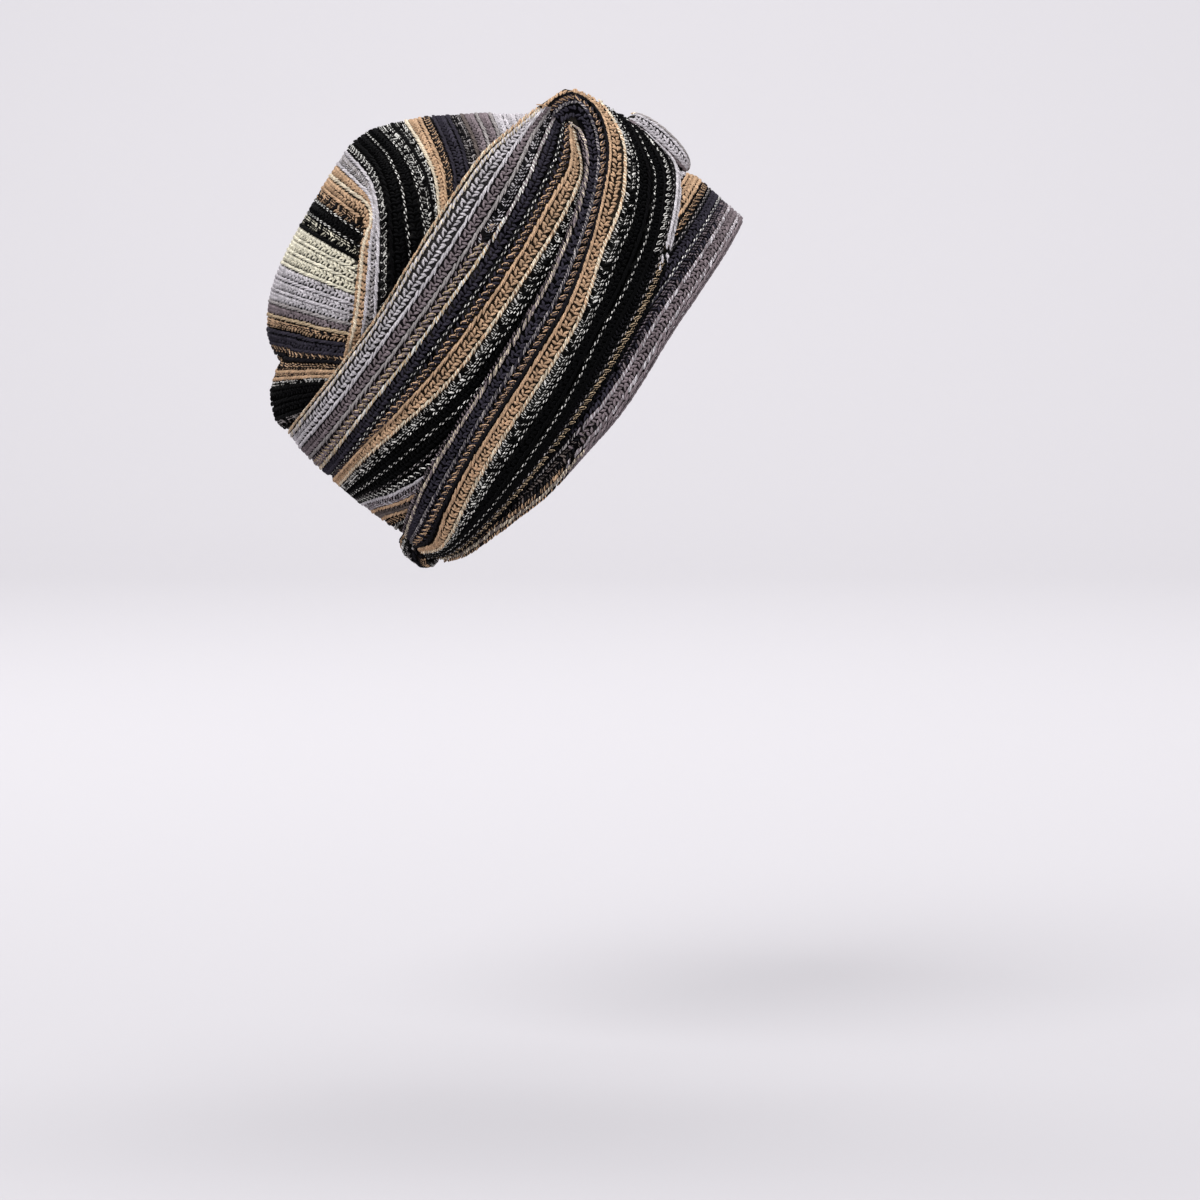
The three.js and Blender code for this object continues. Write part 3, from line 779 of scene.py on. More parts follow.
def stitch_tree():
    """Geometry nodes that lay one small bowed spindle of yarn at each point."""
    name = "Lay stitches"
    if name in bpy.data.node_groups:
        return bpy.data.node_groups[name]
    tree = bpy.data.node_groups.new(name, "GeometryNodeTree")
    face = tree.interface
    face.new_socket("Geometry", in_out="INPUT", socket_type="NodeSocketGeometry")
    inputs = [
        ("Sides", "NodeSocketInt", 4),
        ("Steps", "NodeSocketInt", 3),
        ("Bow", "NodeSocketFloat", 0.22),
        ("End thickness", "NodeSocketFloat", 0.45),
        ("Slack", "NodeSocketFloat", 0.1),
        ("Seed", "NodeSocketInt", 1),
    ]
    for label, kind, value in inputs:
        face.new_socket(label, in_out="INPUT", socket_type=kind).default_value = value
    face.new_socket("Yarn", in_out="INPUT", socket_type="NodeSocketMaterial")
    face.new_socket("Geometry", in_out="OUTPUT", socket_type="NodeSocketGeometry")
    nodes, link = tree.nodes, tree.links.new
    given = nodes.new("NodeGroupInput")
    out = nodes.new("NodeGroupOutput")

    line = nodes.new("GeometryNodeCurveQuadraticBezier")
    line.inputs["Start"].default_value = (-0.5, 0, -0.1)
    line.inputs["End"].default_value = (0.5, 0, -0.1)
    crest = nodes.new("ShaderNodeCombineXYZ")
    link(given.outputs["Steps"], line.inputs["Resolution"])
    link(given.outputs["Bow"], crest.inputs["Z"])
    link(crest.outputs[0], line.inputs["Middle"])
    along = nodes.new("GeometryNodeSplineParameter")
    arch = nodes.new("ShaderNodeMapRange")
    arch.interpolation_type = "SMOOTHSTEP"
    middle = nodes.new("ShaderNodeMath")
    middle.operation = "PINGPONG"
    middle.inputs[1].default_value = 0.5
    link(along.outputs["Factor"], middle.inputs[0])
    link(middle.outputs[0], arch.inputs["Value"])
    arch.inputs["From Max"].default_value = 0.32
    link(given.outputs["End thickness"], arch.inputs["To Min"])
    round_yarn = nodes.new("GeometryNodeCurvePrimitiveCircle")
    round_yarn.inputs["Radius"].default_value = 0.5
    link(given.outputs["Sides"], round_yarn.inputs["Resolution"])
    spindle = nodes.new("GeometryNodeCurveToMesh")
    spindle.inputs["Fill Caps"].default_value = True
    link(line.outputs["Curve"], spindle.inputs["Curve"])
    link(round_yarn.outputs["Curve"], spindle.inputs["Profile Curve"])
    link(arch.outputs["Result"], spindle.inputs["Scale"])

    own_place = nodes.new("GeometryNodeInputPosition")
    keep_place = nodes.new("GeometryNodeStoreNamedAttribute")
    keep_place.data_type = "FLOAT_VECTOR"
    keep_place.inputs["Name"].default_value = "stitch_local"
    link(spindle.outputs["Mesh"], keep_place.inputs["Geometry"])
    link(own_place.outputs["Position"], keep_place.inputs["Value"])

    def named(attribute):
        node = nodes.new("GeometryNodeInputNamedAttribute")
        node.data_type = "FLOAT_VECTOR"
        node.inputs["Name"].default_value = attribute
        return node.outputs["Attribute"]

    lay = nodes.new("FunctionNodeAxesToRotation")
    lay.primary_axis = "Z"
    lay.secondary_axis = "X"
    link(named("stitch_up"), lay.inputs["Primary Axis"])
    link(named("stitch_way"), lay.inputs["Secondary Axis"])
    spin = nodes.new("FunctionNodeRandomValue")
    spin.data_type = "FLOAT"
    back = nodes.new("ShaderNodeMath")
    back.operation = "MULTIPLY"
    back.inputs[1].default_value = -1
    link(given.outputs["Slack"], back.inputs[0])
    link(back.outputs[0], spin.inputs[2])
    link(given.outputs["Slack"], spin.inputs[3])
    link(given.outputs["Seed"], spin.inputs["Seed"])
    turn = nodes.new("FunctionNodeAxisAngleToRotation")
    turn.inputs["Axis"].default_value = (0, 0, 1)
    link(spin.outputs[1], turn.inputs["Angle"])
    loose = nodes.new("FunctionNodeRotateRotation")
    loose.rotation_space = "LOCAL"
    link(lay.outputs["Rotation"], loose.inputs["Rotation"])
    link(turn.outputs["Rotation"], loose.inputs["Rotate By"])

    sow = nodes.new("GeometryNodeInstanceOnPoints")
    link(given.outputs["Geometry"], sow.inputs["Points"])
    link(keep_place.outputs["Geometry"], sow.inputs["Instance"])
    link(loose.outputs["Rotation"], sow.inputs["Rotation"])
    link(named("stitch_size"), sow.inputs["Scale"])
    realize = nodes.new("GeometryNodeRealizeInstances")
    link(sow.outputs["Instances"], realize.inputs["Geometry"])
    dye = nodes.new("GeometryNodeSetMaterial")
    link(realize.outputs["Geometry"], dye.inputs["Geometry"])
    link(given.outputs["Yarn"], dye.inputs["Material"])
    link(dye.outputs["Geometry"], out.inputs["Geometry"])
    return tree


# Materials.


def maths_in(tree):
    """A function that adds a maths node to a tree, from numbers or other nodes' outputs."""

    def maths(operation, *values):
        node = tree.nodes.new("ShaderNodeMath")
        node.operation = operation
        for socket, value in zip(node.inputs, values):
            if isinstance(value, (int, float)):
                socket.default_value = value
            else:
                tree.links.new(value, socket)
        return node.outputs[0]

    return maths


def fibre_group():
    """Fine fibres and a soft mottle, from Object coordinates."""
    name = "Yarn fibres"
    if name in bpy.data.node_groups:
        return bpy.data.node_groups[name]
    group = bpy.data.node_groups.new(name, "ShaderNodeTree")
    face = group.interface
    face.new_socket("Tint", in_out="INPUT", socket_type="NodeSocketColor")
    for label, value in (("Fibre scale", 2600.0), ("Mottle", 0.35), ("Depth", 1.0)):
        face.new_socket(label, in_out="INPUT", socket_type="NodeSocketFloat").default_value = value
    face.new_socket("Colour", in_out="OUTPUT", socket_type="NodeSocketColor")
    face.new_socket("Height", in_out="OUTPUT", socket_type="NodeSocketFloat")
    nodes, link = group.nodes, group.links.new
    given, out = nodes.new("NodeGroupInput"), nodes.new("NodeGroupOutput")
    place = nodes.new("ShaderNodeTexCoord")
    fibre = nodes.new("ShaderNodeTexNoise")
    fibre.inputs["Detail"].default_value = 3
    fibre.inputs["Roughness"].default_value = 0.65
    link(place.outputs["Object"], fibre.inputs["Vector"])
    link(given.outputs["Fibre scale"], fibre.inputs["Scale"])
    wide = nodes.new("ShaderNodeTexNoise")
    wide.inputs["Scale"].default_value = 260
    wide.inputs["Detail"].default_value = 2
    link(place.outputs["Object"], wide.inputs["Vector"])
    maths = maths_in(group)
    spread = nodes.new("ShaderNodeMapRange")
    spread.inputs["From Min"].default_value = 0.7
    spread.inputs["From Max"].default_value = 1.3
    link(maths("ADD", fibre.outputs["Fac"], wide.outputs["Fac"]), spread.inputs["Value"])
    link(maths("SUBTRACT", 1, given.outputs["Mottle"]), spread.inputs["To Min"])
    link(maths("ADD", 1, given.outputs["Mottle"]), spread.inputs["To Max"])
    shade = nodes.new("ShaderNodeVectorMath")
    shade.operation = "MULTIPLY"
    link(given.outputs["Tint"], shade.inputs[0])
    link(spread.outputs["Result"], shade.inputs[1])
    link(shade.outputs["Vector"], out.inputs["Colour"])
    link(maths("MULTIPLY", fibre.outputs["Fac"], given.outputs["Depth"]), out.inputs["Height"])
    return group


def knit_group():
    """The relief of plain knit on the inside of the cloth: slanted stitches between low ribs, from
    the cloth's own UV map in metres."""
    name = "Knit relief"
    if name in bpy.data.node_groups:
        return bpy.data.node_groups[name]
    group = bpy.data.node_groups.new(name, "ShaderNodeTree")
    face = group.interface
    for label, value in (("Repeat", 0.0045), ("Course", 0.0035)):
        face.new_socket(label, in_out="INPUT", socket_type="NodeSocketFloat").default_value = value
    face.new_socket("Height", in_out="OUTPUT", socket_type="NodeSocketFloat")
    nodes, link = group.nodes, group.links.new
    given, out = nodes.new("NodeGroupInput"), nodes.new("NodeGroupOutput")
    maths = maths_in(group)
    chart = nodes.new("ShaderNodeUVMap")
    chart.uv_map = "cloth"
    split = nodes.new("ShaderNodeSeparateXYZ")
    link(chart.outputs["UV"], split.inputs[0])
    across = maths("DIVIDE", split.outputs["Y"], given.outputs["Course"])
    along = maths("DIVIDE", split.outputs["X"], given.outputs["Repeat"])
    zigzag = maths("PINGPONG", across, 1.0)
    slanted = maths("ADD", along, maths("MULTIPLY", zigzag, 0.6))
    stitch = maths("ABSOLUTE", maths("SINE", maths("MULTIPLY", slanted, 2 * math.pi)))
    rib = maths("ABSOLUTE", maths("SINE", maths("MULTIPLY", across, math.pi)))
    link(maths("MULTIPLY", maths("POWER", stitch, 0.6), maths("POWER", rib, 0.5)), out.inputs["Height"])
    return group


def ply_group():
    """Two plies twisted round each other, or an open loop, from the stitch's own axes, with painted shade
    darkening the colour where the one meets the other.
    """
    name = "Yarn plies"
    if name in bpy.data.node_groups:
        return bpy.data.node_groups[name]
    group = bpy.data.node_groups.new(name, "ShaderNodeTree")
    face = group.interface
    face.new_socket("Place", in_out="INPUT", socket_type="NodeSocketVector")
    for label in ("Tint", "Fleck"):
        face.new_socket(label, in_out="INPUT", socket_type="NodeSocketColor")
    for label, value in (("Loop", 0.0), ("Twist", 1.75), ("Groove", 0.25)):
        face.new_socket(label, in_out="INPUT", socket_type="NodeSocketFloat").default_value = value
    face.new_socket("Colour", in_out="OUTPUT", socket_type="NodeSocketColor")
    face.new_socket("Height", in_out="OUTPUT", socket_type="NodeSocketFloat")
    nodes, link = group.nodes, group.links.new
    given, out = nodes.new("NodeGroupInput"), nodes.new("NodeGroupOutput")
    maths = maths_in(group)
    split = nodes.new("ShaderNodeSeparateXYZ")
    link(given.outputs["Place"], split.inputs[0])
    along, across = split.outputs["X"], split.outputs["Y"]
    turn = maths("SUBTRACT", across, maths("MULTIPLY", along, given.outputs["Twist"]))
    wave = maths("SINE", maths("MULTIPLY", turn, 2 * math.pi))
    lengthwise = maths("MULTIPLY", maths("ABSOLUTE", along), 0.55)
    from_edge = maths("SUBTRACT", maths("MAXIMUM", maths("ABSOLUTE", across), lengthwise), 0.2)
    ring = maths("MULTIPLY", from_edge, 6.0)
    loop = given.outputs["Loop"]
    twisted = maths("MULTIPLY", wave, maths("SUBTRACT", 1.0, loop))
    share = maths("ADD", twisted, maths("MULTIPLY", ring, loop))
    which = nodes.new("ShaderNodeMapRange")
    which.inputs["From Min"].default_value = 0.05
    which.inputs["From Max"].default_value = 0.3
    link(share, which.inputs["Value"])
    mix = nodes.new("ShaderNodeMix")
    mix.data_type = "RGBA"
    link(which.outputs["Result"], mix.inputs["Factor"])
    link(given.outputs["Tint"], mix.inputs["A"])
    link(given.outputs["Fleck"], mix.inputs["B"])
    # Painted shade: the colour falls to the groove share where the two plies, or the loop and its yarn,
    # meet; the same values give the bump's height.
    ply_relief_and_shade = nodes.new("ShaderNodeMapRange")
    ply_relief_and_shade.interpolation_type = "SMOOTHSTEP"
    ply_relief_and_shade.inputs["From Max"].default_value = 0.55
    link(maths("ABSOLUTE", share), ply_relief_and_shade.inputs["Value"])
    link(given.outputs["Groove"], ply_relief_and_shade.inputs["To Min"])
    shade = nodes.new("ShaderNodeVectorMath")
    shade.operation = "MULTIPLY"
    link(mix.outputs["Result"], shade.inputs[0])
    link(ply_relief_and_shade.outputs["Result"], shade.inputs[1])
    link(shade.outputs["Vector"], out.inputs["Colour"])
    link(ply_relief_and_shade.outputs["Result"], out.inputs["Height"])
    return group


def yarn_material(name, roughness=0.9):
    """Soft matt two-ply yarn in each stitch's own colours, with painted shade in the grooves between its
    plies.
    """
    material = bpy.data.materials.new(name)
    material.use_nodes = True
    nodes, link = material.node_tree.nodes, material.node_tree.links.new
    shader = nodes["Principled BSDF"]

    def attribute(key):
        node = nodes.new("ShaderNodeAttribute")
        node.attribute_name = key
        return node

    plies = nodes.new("ShaderNodeGroup")
    plies.node_tree = ply_group()
    link(attribute("stitch_local").outputs["Vector"], plies.inputs["Place"])
    link(attribute("yarn_tint_and_shade").outputs["Color"], plies.inputs["Tint"])
    link(attribute("yarn_fleck").outputs["Color"], plies.inputs["Fleck"])
    link(attribute("stitch_loop").outputs["Fac"], plies.inputs["Loop"])
    fibres = nodes.new("ShaderNodeGroup")
    fibres.node_tree = fibre_group()
    fibres.inputs["Mottle"].default_value = 0.28
    link(plies.outputs["Colour"], fibres.inputs["Tint"])
    both = nodes.new("ShaderNodeMath")
    both.operation = "MULTIPLY_ADD"
    both.inputs[1].default_value = 0.4
    link(fibres.outputs["Height"], both.inputs[0])
    link(plies.outputs["Height"], both.inputs[2])
    bump = nodes.new("ShaderNodeBump")
    bump.inputs["Strength"].default_value = 0.7
    bump.inputs["Distance"].default_value = 0.0003
    link(fibres.outputs["Colour"], shader.inputs["Base Color"])
    link(both.outputs[0], bump.inputs["Height"])
    link(bump.outputs["Normal"], shader.inputs["Normal"])
    shader.inputs["Roughness"].default_value = roughness
    shader.inputs["Specular IOR Level"].default_value = 0.03
    shader.inputs["Sheen Weight"].default_value = 0.015
    shader.inputs["Sheen Roughness"].default_value = 0.5
    return material


def backing_material(name):
    """The cloth behind the stitches, with its stripes in the darker colours of its points, painted shade on
    the outside, and knit on its inside, whose grooves are darkened as painted shade.
    """
    material = bpy.data.materials.new(name)
    material.use_nodes = True
    nodes, link = material.node_tree.nodes, material.node_tree.links.new
    shader = nodes["Principled BSDF"]
    tint = nodes.new("ShaderNodeAttribute")
    tint.attribute_name = "yarn_tint_and_shade"
    fibres = nodes.new("ShaderNodeGroup")
    fibres.node_tree = fibre_group()
    fibres.inputs["Mottle"].default_value = 0.3
    relief = nodes.new("ShaderNodeGroup")
    relief.node_tree = knit_group()
    both = nodes.new("ShaderNodeMath")
    both.operation = "MULTIPLY_ADD"
    both.inputs[1].default_value = 0.2
    bump = nodes.new("ShaderNodeBump")
    bump.inputs["Strength"].default_value = 0.9
    bump.inputs["Distance"].default_value = 0.0009
    # Painted shade: the colour falls to 0.35 of itself in the grooves of the knit relief.
    knit_groove_shade = nodes.new("ShaderNodeMapRange")
    knit_groove_shade.inputs["To Min"].default_value = 0.35
    shade = nodes.new("ShaderNodeVectorMath")
    shade.operation = "MULTIPLY"
    link(tint.outputs["Color"], fibres.inputs["Tint"])
    link(relief.outputs["Height"], knit_groove_shade.inputs["Value"])
    link(fibres.outputs["Colour"], shade.inputs[0])
    link(knit_groove_shade.outputs["Result"], shade.inputs[1])
    link(shade.outputs["Vector"], shader.inputs["Base Color"])
    link(fibres.outputs["Height"], both.inputs[0])
    link(relief.outputs["Height"], both.inputs[2])
    link(both.outputs[0], bump.inputs["Height"])
    link(bump.outputs["Normal"], shader.inputs["Normal"])
    shader.inputs["Roughness"].default_value = 0.92
    shader.inputs["Specular IOR Level"].default_value = 0.03
    return material


# Meshes.


def mesh_piece(name, points, faces, uvs, material):
    """A smooth mesh piece. uvs holds metres along and across the cloth at each point."""
    mesh = bpy.data.meshes.new(name)
    mesh.from_pydata([tuple(p) for p in worn(np.asarray(points))], [], faces)
    corners = np.zeros(len(mesh.loops), np.int32)
    mesh.loops.foreach_get("vertex_index", corners)
    layer = mesh.uv_layers.new(name="cloth")
    layer.data.foreach_set("uv", (np.asarray(uvs)[corners] / 1000).ravel())
    mesh.materials.append(material)
    mesh.shade_smooth()
    mesh.validate()
    piece = bpy.data.objects.new(name, mesh)
    bpy.context.scene.collection.objects.link(piece)
    return piece


def face_outwards(piece):
    """Turn every face of a closed mesh outwards."""
    sculpt = bmesh.new()
    sculpt.from_mesh(piece.data)
    bmesh.ops.remove_doubles(sculpt, verts=sculpt.verts, dist=1e-6)
    bmesh.ops.recalc_face_normals(sculpt, faces=sculpt.faces)
    if sculpt.calc_volume(signed=True) < 0:
        bmesh.ops.reverse_faces(sculpt, faces=sculpt.faces)
    sculpt.to_mesh(piece.data)
    sculpt.free()


def tube_faces(rings, count):
    """The faces of a closed tube of rings of count points, with a flat face at each end."""
    faces = []
    for r in range(rings - 1):
        for j in range(count):
            k = (j + 1) % count
            faces.append((r * count + j, r * count + k, (r + 1) * count + k, (r + 1) * count + j))
    faces.append(tuple(range(count)))
    faces.append(tuple(range((rings - 1) * count, rings * count)))
    return faces


def cloth_shell(name, cloth, material, steps=110, rolled_end=False):
    """The closed wall of a cloth, with a rolled fold along both edges and, where asked, at the end of
    its rows."""
    body_rows = 30
    chart_length = 560.0
    quarter = math.pi / 2 * FOLD_RADIUS
    rolls = np.array([1 / 3, 2 / 3, 1]) * quarter
    along = np.linspace(0, 1, steps + 1)
    if rolled_end:
        along = np.concatenate([along, 1 + rolls / cloth.ROW_LENGTH])
    first, last = cloth.limits(np.clip(along, 0, 1))
    downs = [first - roll for roll in rolls[::-1]]
    downs += [first + (last - first) * share for share in np.linspace(0, 1, body_rows)]
    downs += [last + roll for roll in rolls]
    downs = np.stack(downs)
    wide = len(along)
    count = len(downs)
    grid = np.broadcast_to(along, downs.shape)
    outer, _ = cloth.at(downs, grid)
    inner, _ = cloth.at(downs, grid, inside=True)
    points = np.concatenate([outer.reshape(-1, 3), inner.reshape(-1, 3)])
    uvs = np.tile(np.stack([grid * chart_length, downs], axis=-1).reshape(-1, 2), (2, 1))
    half = wide * count
    faces = []
    for i in range(count - 1):
        for j in range(wide - 1):
            a, b = i * wide + j, (i + 1) * wide + j
            faces.append((a, a + 1, b + 1, b))
            faces.append((half + a, half + b, half + b + 1, half + a + 1))
        for j in (0,) if rolled_end else (0, wide - 1):
            a, b = i * wide + j, (i + 1) * wide + j
            faces.append((a, b, half + b, half + a))
    piece = mesh_piece(name, points, faces, uvs, material)
    face_outwards(piece)
    return piece


def tint_and_shade_backing(piece, stitches, stripes=None):
    """Give each point of a backing the colour of the nearest stitch, darkened on the outside as painted
    shade for the gaps between stitches, and on its inside darkened less. Where a rule for stripes is given,
    the second half of the points is the inside."""
    made = stitches.joined()
    places, ups = worn(made["point"]), worn(made["up"]) * 1000
    tints = (made["tint"] + made["fleck"]) / 2
    tree = KDTree(len(places))
    for i, place in enumerate(places):
        tree.insert(place, i)
    tree.balance()
    mesh = piece.data
    found = np.array([tree.find(v.co)[1] for v in mesh.vertices])
    shades = tints[found]
    if stripes:
        outer = np.arange(len(found)) < len(found) // 2
        spots = np.array([v.co for v in mesh.vertices])
        shades = np.where(outer[:, None], shades, stripes(spots))
    else:
        normals = np.array([v.normal for v in mesh.vertices])
        outer = (normals * ups[found]).sum(1) > -0.2
    # The outside is darkened to the backing share as painted shade in the gaps between stitches; the inside
    # takes the lighter inside share.
    depth = np.where(outer, knit().backing, knit().inside)[:, None]
    colours = np.concatenate([shades * depth, np.ones((len(found), 1))], axis=1)
    mesh.attributes.new("yarn_tint_and_shade", "FLOAT_COLOR", "POINT").data.foreach_set("color", colours.ravel())


def declare(piece, stitches, node):
    """Attach a cloth piece and its stitches to the root, and hide the part that it replaces."""
    for one in (piece, stitches):
        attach(one, "root")
    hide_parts(node)


# The pieces.


def upper_cloth():
    """The cloth of the upper wrap, round the back from beside one lobe to beside the other."""
    crease_at_nape = 18.4
    selvedge_height = 103
    tuck_width = 2.6
    rows = {}
    for down, heights in UPPER_ROWS.items():
        start = table(UPPER_START, "down", "angle")(down), table(UPPER_START, "down", "height")(down)
        right = [start] + list(zip(UPPER_ANGLES[1:], heights[1:]))
        rows[down] = right + [(360 - angle, height) for angle, height in right[-2::-1]]

    def proud(down, along, angle, height):
        side = 180 - np.abs(angle - 180)
        over_strap = strap_top(np.clip(side, UPPER_START_ANGLE, STRAP_NAPE_END))
        crease = np.where(side < STRAP_NAPE_END, over_strap, crease_at_nape)
        open_share = np.clip((height - crease) / np.maximum(selvedge_height - crease, 1), 0, 1)
        free = step_up(side, 38, 62)
        swell = UPPER_RELIEF["swell"] * free * np.sin(np.pi * open_share) ** 0.7
        rest = UPPER_RELIEF["rest"] * step_up(down, 10, 0)
        from_tuck = (down - smooth_between(TUCK_LINE["angle"], TUCK_LINE["down"], side)) / tuck_width
        tuck = UPPER_RELIEF["tuck"] * step_up(side, 118, 142) * np.exp(-(from_tuck**2))
        lip = UPPER_RELIEF["lip"] * step_up(side, 52, 38) * step_up(down, 19, 12)
        sink = UPPER_RELIEF["sink"] * step_up(side, 50, 36) * step_up(down, 18, 26)
        return TUCKED + swell + rest + tuck + lip + sink - STITCH_DEPTH

    return Cloth(rows, lambda row: along_path(row, 401), proud)


def upper_seen(cloth):
    """A rule for where the upper wrap shows above the straps."""
    under_strap = 3.5

    def seen(down, along):
        place = cloth.place(np.clip(down, cloth.first, cloth.last), along)
        side = 180 - np.abs(place[..., 0] - 180)
        over_strap = strap_top(np.clip(side, UPPER_START_ANGLE, STRAP_NAPE_END))
        return (side > STRAP_NAPE_END) | (place[..., 1] > over_strap - under_strap)

    return seen


def strap_cloth(side):
    """The cloth of a strap, on the right where side is 1 and on the left where it is -1."""
    strap_width = 58
    lean_from = 76
    lean_rate = 0.016

    def flow(row):
        path = along_path(row, 301)
        path[:, 0] *= side
        return path

    def proud(down, along, angle, height):
        turn = np.abs(angle)
        round_share = np.sin(np.pi * np.clip(down / strap_width, 0, 1))
        swell = STRAP_RELIEF["swell"] * round_share * step_up(turn, 12, 40)
        hairpin = STRAP_RELIEF["hairpin"] * step_up(along, 0.93, 1.0) * step_up(down, 18, 12)
        valley = STRAP_RELIEF["valley"] * step_up(turn, 46, 30) * step_up(down, 7, 0)
        return STRAP_RELIEF["rest"] + swell + hairpin + valley - STITCH_DEPTH

    def lean(angle, height):
        turn = np.abs(angle)
        return lean_rate * np.maximum(height - lean_from, 0) ** 2 * (1 - step_up(turn, 24, 36))

    return Cloth(STRAP_ROWS, flow, proud, lean)


class BrimCloth(Surface):
    """The brim pleat, whose rows follow its lower edge. down is millimetres up from the edge."""

    TUCKED_IN = 8.0
    SMALL = 0.4
    SMALL_SHARE = 0.002
    UNDER_STRAP = 3.0

    def __init__(self):
        self.angles = np.linspace(-BRIM_ROWS_END, BRIM_ROWS_END, 401)
        side = np.abs(self.angles)
        self.edge = brim_at_forward(BAND_HALF_LENGTH * np.cos(np.radians(self.angles)))
        self.cover = strap_bottom(np.clip(side, STRAP_BOTTOM["angle"][0], STRAP_NAPE_END))
        strap_width = strap_top(np.clip(side, STRAP_FRONT_END, STRAP_NAPE_END)) - self.cover
        self.top = self.cover + np.minimum(self.TUCKED_IN, strap_width * 0.25) - self.edge

    def _angle(self, along):
        return -BRIM_ROWS_END + 2 * BRIM_ROWS_END * along

    def _spot(self, down, along):
        angle = self._angle(along)
        height = np.interp(angle, self.angles, self.edge) + down
        knot = 1 - step_up(np.abs(angle), KNOT["half_angle"], 13)
        cover = np.interp(angle, self.angles, self.cover) * (1 - knot) + KNOT["low"] * knot
        swell = BRIM_SWELL * step_up(cover - height, 0.3, 6)
        return in_band(angle, height, TUCKED + swell - STITCH_DEPTH), height, cover

    def limits(self, along):
        return np.zeros_like(along), np.interp(self._angle(along), self.angles, self.top)

    def base(self, down, along):
        point, _, _ = self._spot(down, along)
        across = self._spot(down + self.SMALL, along)[0] - point
        across /= np.linalg.norm(across, axis=-1, keepdims=True)
        ahead = self._spot(down, np.clip(along + self.SMALL_SHARE, 0, 1))[0]
        ahead = ahead - self._spot(down, np.clip(along - self.SMALL_SHARE, 0, 1))[0]
        normal = np.cross(across, ahead)
        normal /= np.linalg.norm(normal, axis=-1, keepdims=True)
        normal = normal * np.sign((normal * point * np.array([1, 1, 0])).sum(-1, keepdims=True))
        return point, normal, across, np.zeros_like(point)

    def seen(self, down, along):
        """Whether a stitch of the brim shows below the straps and the knot."""
        _, height, cover = self._spot(down, along)
        _, top = self.limits(along)
        return (height < cover + self.UNDER_STRAP) & (down < top - 0.5)


